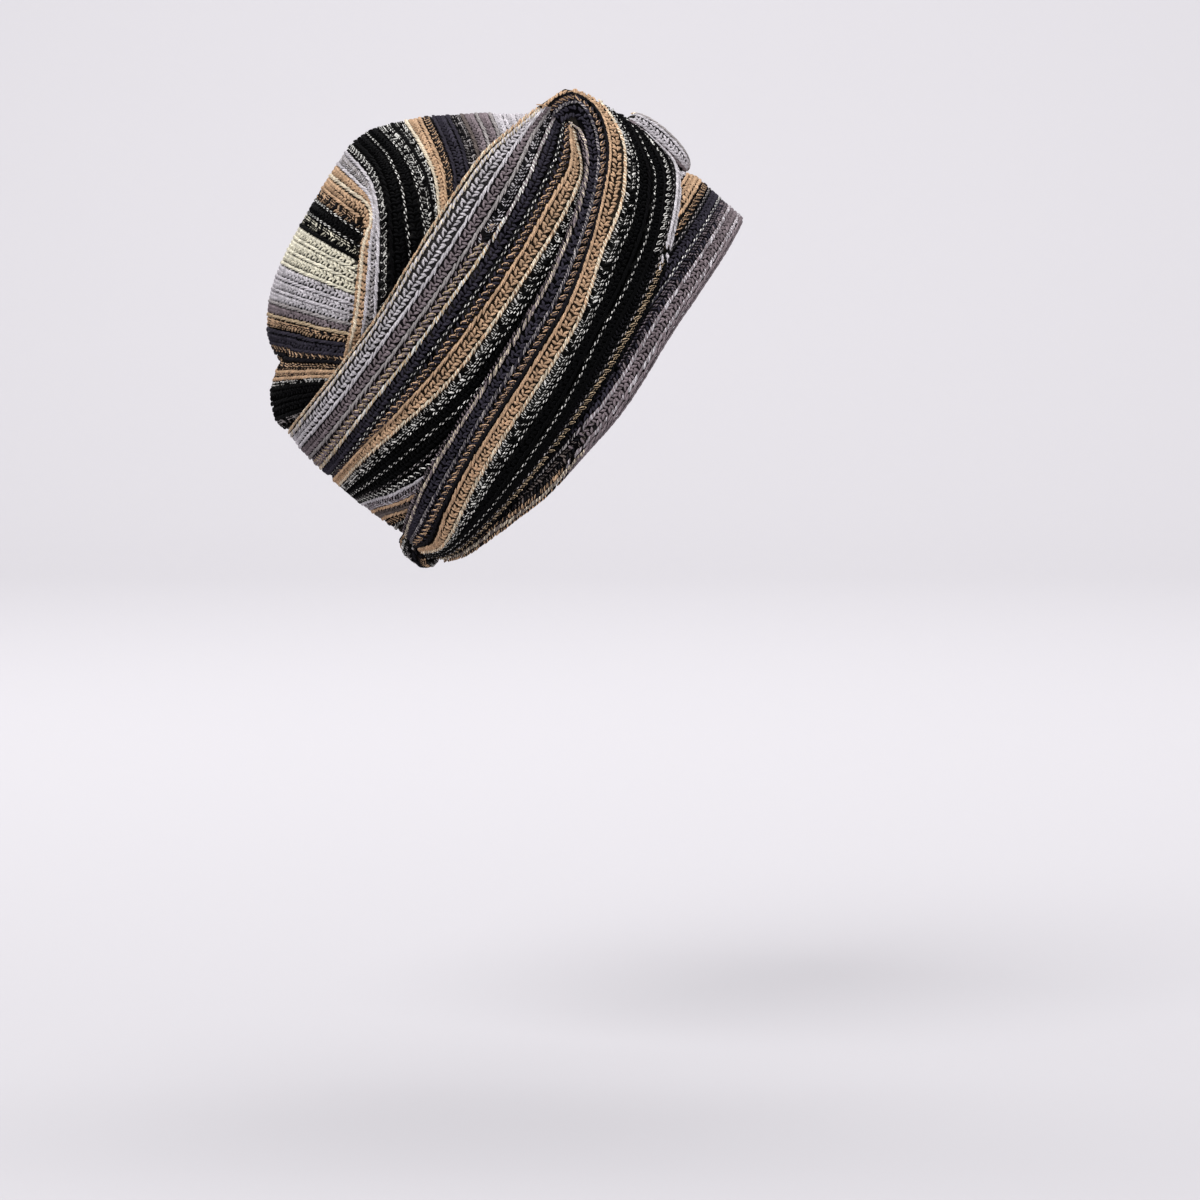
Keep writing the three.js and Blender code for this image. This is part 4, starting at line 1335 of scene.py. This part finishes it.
class Bag:
    """The slouched bag over the head, with its rows from side to side."""

    # How far a row runs down towards the pole at its ends.
    POLE_REACH = 0.8

    def __init__(self):
        self.lengths = np.linspace(-30, 320, 701)
        self.outline = self.outline_at(self.lengths)
        self.fold_keys = sorted(FOLD_ROWS)
        self.fold_paths = np.stack([along_path(FOLD_ROWS[k], 121) for k in self.fold_keys])
        edge = self.fold_paths[0]
        self.fold_edge = edge[np.argsort(edge[:, 1])]

    def outline_at(self, lengths):
        """Points exactly on the bag's outline in the middle, near those of the skyline table."""
        spots = [table(BAG_SKYLINE, "length", key)(lengths) for key in ("forward", "height")]
        spots = np.stack(spots, axis=-1)
        inward = np.array([BAG_POLE[0], BAG_MIDDLE[2]]) - spots
        outside, inside = np.full(len(spots), -0.2), np.full(len(spots), 0.3)
        for _ in range(24):
            middle = (outside + inside) / 2
            forward, height = (spots + inward * middle[:, None]).T
            level = np.clip(height, BAG_LOWEST, BAG_HIGHEST)
            back, front = bag_back(level), bag_front(level)
            out = (forward < back) | (forward > front) | (height > BAG_HIGHEST)
            outside, inside = np.where(out, middle, outside), np.where(out, inside, middle)
        return spots + inward * inside[:, None]

    def skyline(self, length):
        """Forward and height of points along the bag's outline in the middle."""
        return np.stack([np.interp(length, self.lengths, self.outline[:, k]) for k in (0, 1)], axis=-1)

    def half_breadth(self, forward, height):
        """Half the bag's width at a place, before its fold and its slouch."""
        level = np.clip(height, BAG_LOWEST, BAG_HIGHEST)
        back, front, width = bag_back(level), bag_front(level), bag_width(level)
        middle, half = (back + front) / 2, (front - back) / 2
        share = np.clip((forward - middle) / half, -1, 1)
        return width * np.sqrt(1 - share * share)

    def covered(self, down, forward, height, side):
        """Whether the fold on the right hides a point of a row behind it."""
        edge = np.interp(height, self.fold_edge[:, 1], self.fold_edge[:, 0])
        behind = (side < 0) & (np.asarray(down) < self.fold_keys[0])
        return behind & (forward > edge - 1.2) & (height < 138)

    def relief(self, forward, height, right):
        """How far the fold on the right lifts the cloth ahead of it and sinks it behind."""
        edge = np.interp(height, self.fold_edge[:, 1], self.fold_edge[:, 0])
        ahead = (forward - edge) * 0.72
        zone = step_up(height, 95, 103) * (1 - step_up(height, 128, 158))
        ridge = FOLD_RELIEF["ridge"] * step_up(ahead, -0.8, 1.2)
        ridge = ridge * np.exp(-np.maximum(ahead, 0) / FOLD_RELIEF["ridge_reach"])
        hollow = FOLD_RELIEF["hollow"] * (1 - step_up(ahead, -1.8, 0.4))
        hollow = hollow * np.exp(np.minimum(ahead, 0) / FOLD_RELIEF["hollow_reach"])
        return (ridge + hollow) * zone * right

    def point(self, forward, height, side):
        """side is -1 at the wearer's right and 1 at the left, less near the middle."""
        breadth = self.half_breadth(forward, height)
        right = step_up(-side * breadth, 6, 40)
        out = breadth + self.relief(forward, height, right)
        level = np.clip((height - SLOUCH["low"]) / (SLOUCH["high"] - SLOUCH["low"]), 0, 1)
        back = bag_back(np.clip(height, BAG_LOWEST, BAG_HIGHEST))
        behind = np.maximum(-forward, 1) / BAG_HALF_LENGTH
        from_nape = np.degrees(np.arctan2(breadth / SLOUCH["half_width"], behind)) / SLOUCH["half_angle"]
        bulge = SLOUCH["reach"] * np.exp(-from_nape**2) * np.sin(np.pi * level) ** 0.5
        share = np.clip((forward - 0.3 * back) / (0.7 * back), 0, 1)
        return np.stack([forward - bulge * share, side * out, height + 0 * forward], axis=-1)

    def row(self, down, along):
        """Forward, height and side of points of the row that starts at down along the skyline. along
        runs from 0 at the lower right over the skyline to 1 at the lower left."""
        down, along = np.broadcast_arrays(np.asarray(down, float), np.asarray(along, float))
        reach = np.abs(2 * along - 1)
        share = 1 - np.cos(reach * math.pi / 2)
        start = self.skyline(down)
        pole = np.array(BAG_POLE)
        plain = start + (pole - start) * share[..., None] * self.POLE_REACH
        keys = np.array(self.fold_keys)
        ahead = down >= keys[0]
        inside = np.clip(down, keys[0], keys[-1])
        flat = smooth_between(keys, self.fold_paths, inside.ravel())
        spot = np.clip(share * (flat.shape[1] - 1), 0, flat.shape[1] - 1.001).ravel()
        i0 = spot.astype(int)
        t = (spot - i0)[:, None]
        pick = np.arange(len(i0))
        folded = (flat[pick, i0] * (1 - t) + flat[pick, i0 + 1] * t).reshape(plain.shape)
        first = flat[:, 0].reshape(plain.shape)
        folded = folded + (start - first) * (1 - share)[..., None]
        use = (ahead & (along < 0.5))[..., None]
        place = np.where(use, folded, plain)
        side = np.where(along < 0.5, -1.0, 1.0)
        return place[..., 0], place[..., 1], side

    def at(self, down, along):
        """Points of the bag under its stitches, with their normals."""
        point = self.point(*self.row(down, along))
        down, along = np.asarray(down), np.asarray(along)
        small = 0.35
        small_share = 0.004
        across = self.point(*self.row(down + small, along)) - self.point(*self.row(down - small, along))
        ahead = self.point(*self.row(down, np.clip(along + small_share, 0, 1)))
        ahead = ahead - self.point(*self.row(down, np.clip(along - small_share, 0, 1)))
        normal = np.cross(across, ahead)
        normal /= np.maximum(np.linalg.norm(normal, axis=-1, keepdims=True), 1e-9)
        outward = np.sign((normal * (point - np.array(BAG_MIDDLE))).sum(-1, keepdims=True))
        normal = normal * outward
        return point - normal * STITCH_DEPTH, normal

    def seen(self, down, along):
        """Whether a stitch of the bag shows, above the band and the lobes and clear of the fold."""
        forward, height, side = self.row(down, along)
        breadth = self.half_breadth(forward, height)
        turn = np.degrees(np.arctan2(breadth / BAG_HALF_WIDTH, forward / BAG_HALF_LENGTH))
        selvedge = smooth_between(UPPER_ANGLES, UPPER_ROWS[0], np.clip(turn, UPPER_START_ANGLE, 180))
        lobe = strap_top(np.clip(turn, STRAP_FRONT_END, 31))
        cover = np.where(turn < 31, lobe, np.minimum(selvedge, 103.5))
        margin = 1.5 + 12 * step_up(turn, 58, 40) * step_up(turn, 8, 14)
        return (height > cover - margin) & ~self.covered(down, forward, height, side)


def turn_round_pole(forward, height):
    """The angle round the axis from side to side that the stripes of the bag lie about."""
    turn = np.arctan2(height - BAG_POLE[1], forward - BAG_POLE[0])
    return np.where(turn < -math.pi / 2, turn + 2 * math.pi, turn)


def inside_stripes(bag):
    """A rule for the inside of the bag: the stripes of its bands, round from side to side."""
    outline = bag.outline - np.array(BAG_POLE)
    turns = np.unwrap(np.arctan2(outline[:, 1], outline[:, 0]))[::-1]
    low, high = bag.lengths[0], bag.lengths[-1]
    starts = np.array([band[0] for band in BAG_BANDS])
    pairs = [[linear(YARNS[band[2]]), linear(YARNS[band[3]])] for band in BAG_BANDS]
    yarns = np.array(pairs).mean(axis=1)

    def stripes(spots):
        turn = turn_round_pole(*band_place(spots))
        length = np.interp(turn, turns, bag.lengths[::-1])
        length = length + (np.clip(turn, turns[0], turns[-1]) - turn) * POLE_RADIUS
        length = (length - low) % (high - low) + low
        return yarns[np.clip(np.searchsorted(starts, length, side="right") - 1, 0, len(starts) - 1)]

    return stripes


def bag_courses():
    """The courses of the bag: a cord, then a wide course of its band, once in each repeat."""
    courses = []
    first = int((BAG_FIRST_CORD - BAG_COURSES_FROM) // BAG_REPEAT)
    last = int((BAG_COURSES_TO - BAG_FIRST_CORD) // BAG_REPEAT)
    for k in range(-first, last + 1):
        for offset, is_cord in ((0.0, True), (BAG_REPEAT / 2, False)):
            down = BAG_FIRST_CORD + BAG_REPEAT * k + offset
            band = [b for b in BAG_BANDS if b[0] <= down][-1]
            _, kind, yarn, fleck, cord = band
            if not is_cord:
                courses.append((down, 4.6, kind, yarn, fleck))
            elif cord == "dashes":
                courses.append((down, 2.4, "dashes", "black", "white"))
            else:
                courses.append((down, 2.5, "cord", cord, cord))
    return courses


def bag_shell(bag, material):
    """The bag's closed wall, from its hem inside the brim up over the head. The first half of its
    points is the outside."""
    around = 160
    wall = 2.4
    hem_lift = 3.2
    hem_top = 40
    highest = 164.5
    side_stretch = 1.6
    angles = np.linspace(0, 2 * math.pi, around, endpoint=False)
    rings = []
    edge = brim_at_forward(BAND_HALF_LENGTH * np.cos(angles)) + hem_lift
    hem = BAG_HALF_LENGTH * np.cos(angles), -BAG_HALF_WIDTH * np.sin(angles)
    for share in np.linspace(0, 1, 7)[:-1]:
        rings.append(np.stack([*hem, edge + (hem_top - edge) * share], axis=1))
    for height in np.linspace(hem_top, highest, 70):
        level = np.full(around, height)
        back, front = bag_back(level), bag_front(level)
        forward = (back + front) / 2 + (front - back) / 2 * np.cos(angles)
        side = np.where(np.sin(angles) >= 0, -1.0, 1.0)
        rings.append(bag.point(forward, level, side))
    rings = np.stack(rings)
    top = np.array([BAG_TOP[0], 0, BAG_TOP[1]])
    up = np.gradient(rings, axis=0)
    round_it = np.roll(rings, -1, axis=1) - np.roll(rings, 1, axis=1)
    normal = np.cross(round_it, up)
    normal /= np.maximum(np.linalg.norm(normal, axis=-1, keepdims=True), 1e-9)
    outward = np.sign((normal * (rings - np.array(BAG_MIDDLE))).sum(-1).mean())
    rings = rings - normal * outward * STITCH_DEPTH
    inner = rings - normal * outward * wall
    inner[0, :, 2] = rings[0, :, 2]
    inner_top = top - np.array([0, 0, wall])
    points = np.concatenate([rings.reshape(-1, 3), [top], inner.reshape(-1, 3), [inner_top]])
    levels = len(rings)
    base = levels * around + 1
    faces = []
    for r in range(levels - 1):
        for j in range(around):
            k = (j + 1) % around
            a, b = r * around, (r + 1) * around
            faces.append((a + j, a + k, b + k, b + j))
            faces.append((base + a + k, base + a + j, base + b + j, base + b + k))
    last = (levels - 1) * around
    for j in range(around):
        k = (j + 1) % around
        faces.append((j, base + j, base + k, k))
        faces.append((last + j, last + k, base - 1))
        faces.append((base + last + k, base + last + j, len(points) - 1))
    turn = turn_round_pole(points[:, 0], points[:, 2])
    uvs = np.stack([points[:, 1] * side_stretch, turn * POLE_RADIUS], axis=1)
    piece = mesh_piece("crown_bag", points, faces, uvs, material)
    face_outwards(piece)
    return piece


class TURBAN_OT_crown(bpy.types.Operator):
    """Make the slouched bag over the head, with its large fold on the right"""

    bl_idname = "turban.crown"
    bl_label = "Crown"

    def execute(self, context):
        bag = Bag()
        stitches = Stitches(knit().seed)
        for course in bag_courses():
            stitches.lay(bag.at, course, bag.seen)
        laid = spread_stitches(
            "crown_stitches", stitches, stitch_tree(), yarn_material("crown_yarn"), sides=3)
        backing = bag_shell(bag, backing_material("crown_backing"))
        tint_and_shade_backing(backing, stitches, inside_stripes(bag))
        declare(backing, laid, "crown")
        return {"FINISHED"}


class TURBAN_OT_upper_wrap(bpy.types.Operator):
    """Make the upper pleat of the band, with the finished edge of the cloth"""

    bl_idname = "turban.upper_wrap"
    bl_label = "Upper wrap"

    def execute(self, context):
        cloth = upper_cloth()
        stitches = Stitches(knit().seed + 1)
        for course in UPPER_COURSES:
            stitches.lay(
                cloth.at, course, upper_seen(cloth), from_front=lambda along: 1 - np.abs(2 * along - 1))
        laid = spread_stitches(
            "upper_wrap_stitches", stitches, stitch_tree(), yarn_material("upper_wrap_yarn"), sides=3)
        backing = cloth_shell("upper_wrap_cloth", cloth, backing_material("upper_wrap_backing"), steps=170)
        tint_and_shade_backing(backing, stitches)
        declare(backing, laid, "upper_wrap")
        return {"FINISHED"}


class TURBAN_OT_side_wraps(bpy.types.Operator):
    """Make the right and left straps, each turned over in a lobe beside the knot"""

    bl_idname = "turban.side_wraps"
    bl_label = "Side wraps"

    def execute(self, context):
        for name, side in (("side_wrap_right", 1), ("side_wrap_left", -1)):
            cloth = strap_cloth(side)
            stitches = Stitches(knit().seed + 2 + side)
            over_the_end = 1 + 1.4 * FOLD_RADIUS / cloth.ROW_LENGTH
            for course in STRAP_COURSES:
                stitches.lay(
                    cloth.at, course, from_front=lambda along: 1 - along, flip=side, end=over_the_end)
            laid = spread_stitches(
                name + "_stitches", stitches, stitch_tree(), yarn_material(name + "_yarn"))
            backing = cloth_shell(
                name + "_cloth", cloth, backing_material(name + "_backing"), rolled_end=True)
            tint_and_shade_backing(backing, stitches)
            declare(backing, laid, name)
        return {"FINISHED"}


class TURBAN_OT_brim_wrap(bpy.types.Operator):
    """Make the lowest pleat, once round the head opening"""

    bl_idname = "turban.brim_wrap"
    bl_label = "Brim wrap"

    def execute(self, context):
        cloth = BrimCloth()
        stitches = Stitches(knit().seed + 5)
        for course in BRIM_COURSES:
            stitches.lay(cloth.at, course, cloth.seen, lambda along: np.abs(2 * along - 1))
        laid = spread_stitches(
            "brim_wrap_stitches", stitches, stitch_tree(), yarn_material("brim_wrap_yarn"))
        backing = cloth_shell("brim_wrap_cloth", cloth, backing_material("brim_wrap_backing"), steps=170)
        tint_and_shade_backing(backing, stitches)
        declare(backing, laid, "brim_wrap")
        return {"FINISHED"}


def knot_point(turn_share, up):
    """A point of the knot's face. turn_share runs from its right side to its left."""
    taper = np.sqrt(np.maximum(1 - up * up, 0))
    turn = np.pi * turn_share
    fold = 1 + 0.07 * np.cos(2 * KNOT["folds"] * turn)
    width = KNOT["half_angle"] * taper**0.6
    depth = (KNOT["proud"] - KNOT["back"]) * taper**0.7
    proud = KNOT["back"] + depth * np.sin(np.clip(turn, 0, np.pi)) ** 0.7 * fold
    height = (KNOT["low"] + KNOT["high"]) / 2 + (KNOT["high"] - KNOT["low"]) / 2 * up
    return in_band(width * np.cos(turn), height, proud)


def knot_surface(down, along):
    """down is millimetres across the knot and along runs from its lower end to its upper end."""
    down, along = np.broadcast_arrays(np.asarray(down, float), np.asarray(along, float))
    up = -0.97 + 1.94 * along
    share = np.clip(down / KNOT_GIRTH, 0.02, 0.98)
    point = knot_point(share, up)
    across = knot_point(share + 0.01, up) - knot_point(share - 0.01, up)
    ahead = knot_point(share, np.minimum(up + 0.02, 0.99)) - knot_point(share, np.maximum(up - 0.02, -0.99))
    normal = np.cross(across, ahead)
    normal /= np.maximum(np.linalg.norm(normal, axis=-1, keepdims=True), 1e-9)
    return point, normal * np.sign(normal[..., :1].mean() or 1.0)


class TURBAN_OT_front_knot(bpy.types.Operator):
    """Make the gathered knot at the centre front"""

    bl_idname = "turban.front_knot"
    bl_label = "Front knot"

    def execute(self, context):
        stitches = Stitches(knit().seed + 6)
        for course in KNOT_COURSES:
            stitches.lay(knot_surface, course)
        laid = spread_stitches(
            "front_knot_stitches", stitches, stitch_tree(), yarn_material("front_knot_yarn"))
        tip = math.radians(83)
        chart_half, chart_round = 21, 60
        ups = np.sin(np.linspace(-1, 1, 41) * tip)
        shares = np.linspace(0, 1, 61)
        rows, uvs = [], []
        for up in ups:
            face = knot_point(shares, np.full_like(shares, up))
            back = face[1:-1][::-1].copy()
            angle = np.degrees(np.arctan2(-back[:, 1] / BAND_HALF_WIDTH, back[:, 0] / BAND_HALF_LENGTH))
            back = in_band(angle, back[:, 2], np.full(len(angle), KNOT["back"]))
            rows.append(np.concatenate([face, back]))
            count = len(rows[-1])
            down_chart = np.linspace(0, chart_round, count)
            uvs.append(np.stack([np.full(count, up * chart_half), down_chart], axis=1))
        backing = mesh_piece(
            "front_knot_cloth", np.concatenate(rows), tube_faces(len(rows), len(rows[0])),
            np.concatenate(uvs), backing_material("front_knot_backing"))
        face_outwards(backing)
        tint_and_shade_backing(backing, stitches)
        declare(backing, laid, "front_knot")
        return {"FINISHED"}


def roll_point(turn, along, size):
    """A point of the roll, by its turn round the roll, its share of the way from the nape's middle to
    an end, and the share of the roll's full thickness."""
    height = ROLL["height"] + ROLL["half_height"] * size * np.cos(turn)
    proud = ROLL["proud"] + ROLL["half_depth"] * size * np.sin(turn)
    return in_band(180 + ROLL["half_angle"] * along, height, proud)


def roll_surface(down, along):
    """down is millimetres round the roll, and along runs from one hollow end over it to the other."""
    down, along = np.broadcast_arrays(np.asarray(down, float), np.asarray(along, float))
    ends = len(ROLL_ENDS["along"]) - 1
    where = np.abs(2 * along - 1) * ends
    reach = np.interp(where, np.arange(ends + 1), ROLL_ENDS["along"][::-1]) * np.sign(2 * along - 1)
    size = np.interp(where, np.arange(ends + 1), ROLL_ENDS["size"][::-1])
    twist = down / ROLL_RADIUS + 0.9 * reach
    point = roll_point(twist, reach, size)
    centre = roll_point(twist, reach, size * 0 + 0.02)
    normal = point - centre
    normal /= np.maximum(np.linalg.norm(normal, axis=-1, keepdims=True), 1e-9)
    return point, normal


class TURBAN_OT_nape_roll(bpy.types.Operator):
    """Make the rolled end of the cloth at the nape"""

    bl_idname = "turban.nape_roll"
    bl_label = "Nape roll"

    def execute(self, context):
        stitches = Stitches(knit().seed + 7)
        for i in range(ROLL_COURSES):
            kind, yarn, fleck = ROLL_YARNS[i % len(ROLL_YARNS)]
            down = 2 * math.pi * ROLL_RADIUS * i / ROLL_COURSES
            stitches.lay(roll_surface, (down, 3.0, kind, yarn, fleck))
        laid = spread_stitches(
            "nape_roll_stitches", stitches, stitch_tree(), yarn_material("nape_roll_yarn"))
        chart_length = 60
        chart_radius = 8
        stations = np.linspace(0, 1, 61)
        turns = np.linspace(0, 2 * math.pi, 48, endpoint=False)
        rings = [roll_surface(turns * ROLL_RADIUS, np.full_like(turns, s))[0] for s in stations]
        round_chart = turns * chart_radius
        uvs = [np.stack([np.full_like(turns, s * chart_length), round_chart], axis=1) for s in stations]
        backing = mesh_piece(
            "nape_roll_cloth", np.concatenate(rings), tube_faces(len(rings), len(turns)),
            np.concatenate(uvs), backing_material("nape_roll_backing"))
        face_outwards(backing)
        tint_and_shade_backing(backing, stitches)
        declare(backing, laid, "nape_roll")
        return {"FINISHED"}


class TURBAN_OT_stage(bpy.types.Operator):
    """Set the floor, the lights and the camera"""

    bl_idname = "turban.stage"
    bl_label = "Stage"

    def execute(self, context):
        scene = context.scene
        stage = scene.turban_stage
        half, back, rise, bend = 6.0, 5.0, 6.0, 1.6
        profile = [(-back, 0.0), (back - bend, 0.0)]
        for i in range(1, 13):
            turn = math.pi / 2 * i / 12
            profile.append((back - bend + bend * math.sin(turn), bend * (1 - math.cos(turn))))
        profile.append((back, rise))
        points = [(x, y, stage.floor + z) for y, z in profile for x in (-half, half)]
        faces = [(2 * i, 2 * i + 1, 2 * i + 3, 2 * i + 2) for i in range(len(profile) - 1)]
        mesh = bpy.data.meshes.new("studio_sweep")
        mesh.from_pydata(points, [], faces)
        mesh.shade_smooth()
        paper = bpy.data.materials.new("studio_paper")
        paper.use_nodes = True
        shader = paper.node_tree.nodes["Principled BSDF"]
        shader.inputs["Base Color"].default_value = (*stage.floor_colour, 1)
        shader.inputs["Roughness"].default_value = 0.9
        shader.inputs["Specular IOR Level"].default_value = 0.1
        mesh.materials.append(paper)
        sweep = bpy.data.objects.new("studio_sweep", mesh)
        scene.collection.objects.link(sweep)

        world = bpy.data.worlds.new("studio_air")
        world.use_nodes = True
        air = world.node_tree.nodes["Background"]
        air.inputs["Color"].default_value = (*linear("#f3f2f6"), 1)
        air.inputs["Strength"].default_value = 0.84
        scene.world = world

        on_turban = (-0.02, 0, 0.03)
        on_backdrop = (0, 5, 0.6)
        lamps = [
            ("key_light", (-0.9, -1.7, 1.9), on_turban, 1.2, 50.0),
            ("front_light", (1.8, -1.2, 0.8), on_turban, 1.6, 10.0),
            ("top_light", (0.2, 0.4, 2.2), on_turban, 1.4, 12.0),
            ("back_light", (-1.4, 1.6, 1.2), on_turban, 1.6, 6.0),
            ("backdrop_light", (0, 2.2, 3.6), on_backdrop, 4.0, 205.0),
        ]
        for name, place, target, size, power in lamps:
            lamp = bpy.data.lights.new(name, "AREA")
            lamp.size = size
            lamp.energy = power
            holder = bpy.data.objects.new(name, lamp)
            holder.location = place
            holder.rotation_euler = (Vector(target) - Vector(place)).to_track_quat("-Z", "Y").to_euler()
            scene.collection.objects.link(holder)

        # The photograph's frame is 600 mm across at the turban, and its middle lies at this point.
        middle = Vector((0.009, 0.0, -0.106))
        camera = bpy.data.cameras.new("camera")
        camera.sensor_width = 36
        camera.lens = camera.sensor_width * stage.distance / stage.frame_width
        camera.clip_end = 50
        eye = bpy.data.objects.new("camera", camera)
        look = Vector((0, -math.cos(stage.elevation), math.sin(stage.elevation)))
        eye.location = middle + look * stage.distance
        eye.rotation_euler = (-look).to_track_quat("-Z", "Y").to_euler()
        scene.collection.objects.link(eye)
        scene.camera = eye
        scene.view_settings.view_transform = "Standard"
        return {"FINISHED"}


class TURBAN_PT_panel(bpy.types.Panel):
    """Lists the turban's pieces and settings"""

    bl_label = "Turban"
    bl_idname = "TURBAN_PT_panel"
    bl_space_type = "VIEW_3D"
    bl_region_type = "UI"
    bl_category = "Turban"

    def draw(self, context):
        layout = self.layout
        for step in STEPS:
            layout.operator(step)
        for group in (context.scene.turban_knit, context.scene.turban_stage):
            for key in group.bl_rna.properties.keys():
                if key not in ("rna_type", "name"):
                    layout.prop(group, key)


STEPS = [
    "turban.crown",
    "turban.upper_wrap",
    "turban.side_wraps",
    "turban.brim_wrap",
    "turban.front_knot",
    "turban.nape_roll",
    "turban.stage",
]

CLASSES = (
    TurbanKnit,
    TurbanStage,
    TURBAN_OT_crown,
    TURBAN_OT_upper_wrap,
    TURBAN_OT_side_wraps,
    TURBAN_OT_brim_wrap,
    TURBAN_OT_front_knot,
    TURBAN_OT_nape_roll,
    TURBAN_OT_stage,
    TURBAN_PT_panel,
)


def register():
    for one in CLASSES:
        bpy.utils.register_class(one)
    bpy.types.Scene.turban_knit = PointerProperty(type=TurbanKnit)
    bpy.types.Scene.turban_stage = PointerProperty(type=TurbanStage)


def unregister():
    del bpy.types.Scene.turban_stage
    del bpy.types.Scene.turban_knit
    for one in reversed(CLASSES):
        bpy.utils.unregister_class(one)


def main():
    register()
    bpy.ops.turban.crown()
    bpy.ops.turban.upper_wrap()
    bpy.ops.turban.side_wraps()
    bpy.ops.turban.brim_wrap()
    bpy.ops.turban.front_knot()
    bpy.ops.turban.nape_roll()
    bpy.ops.turban.stage()


if __name__ == "__main__":
    main()
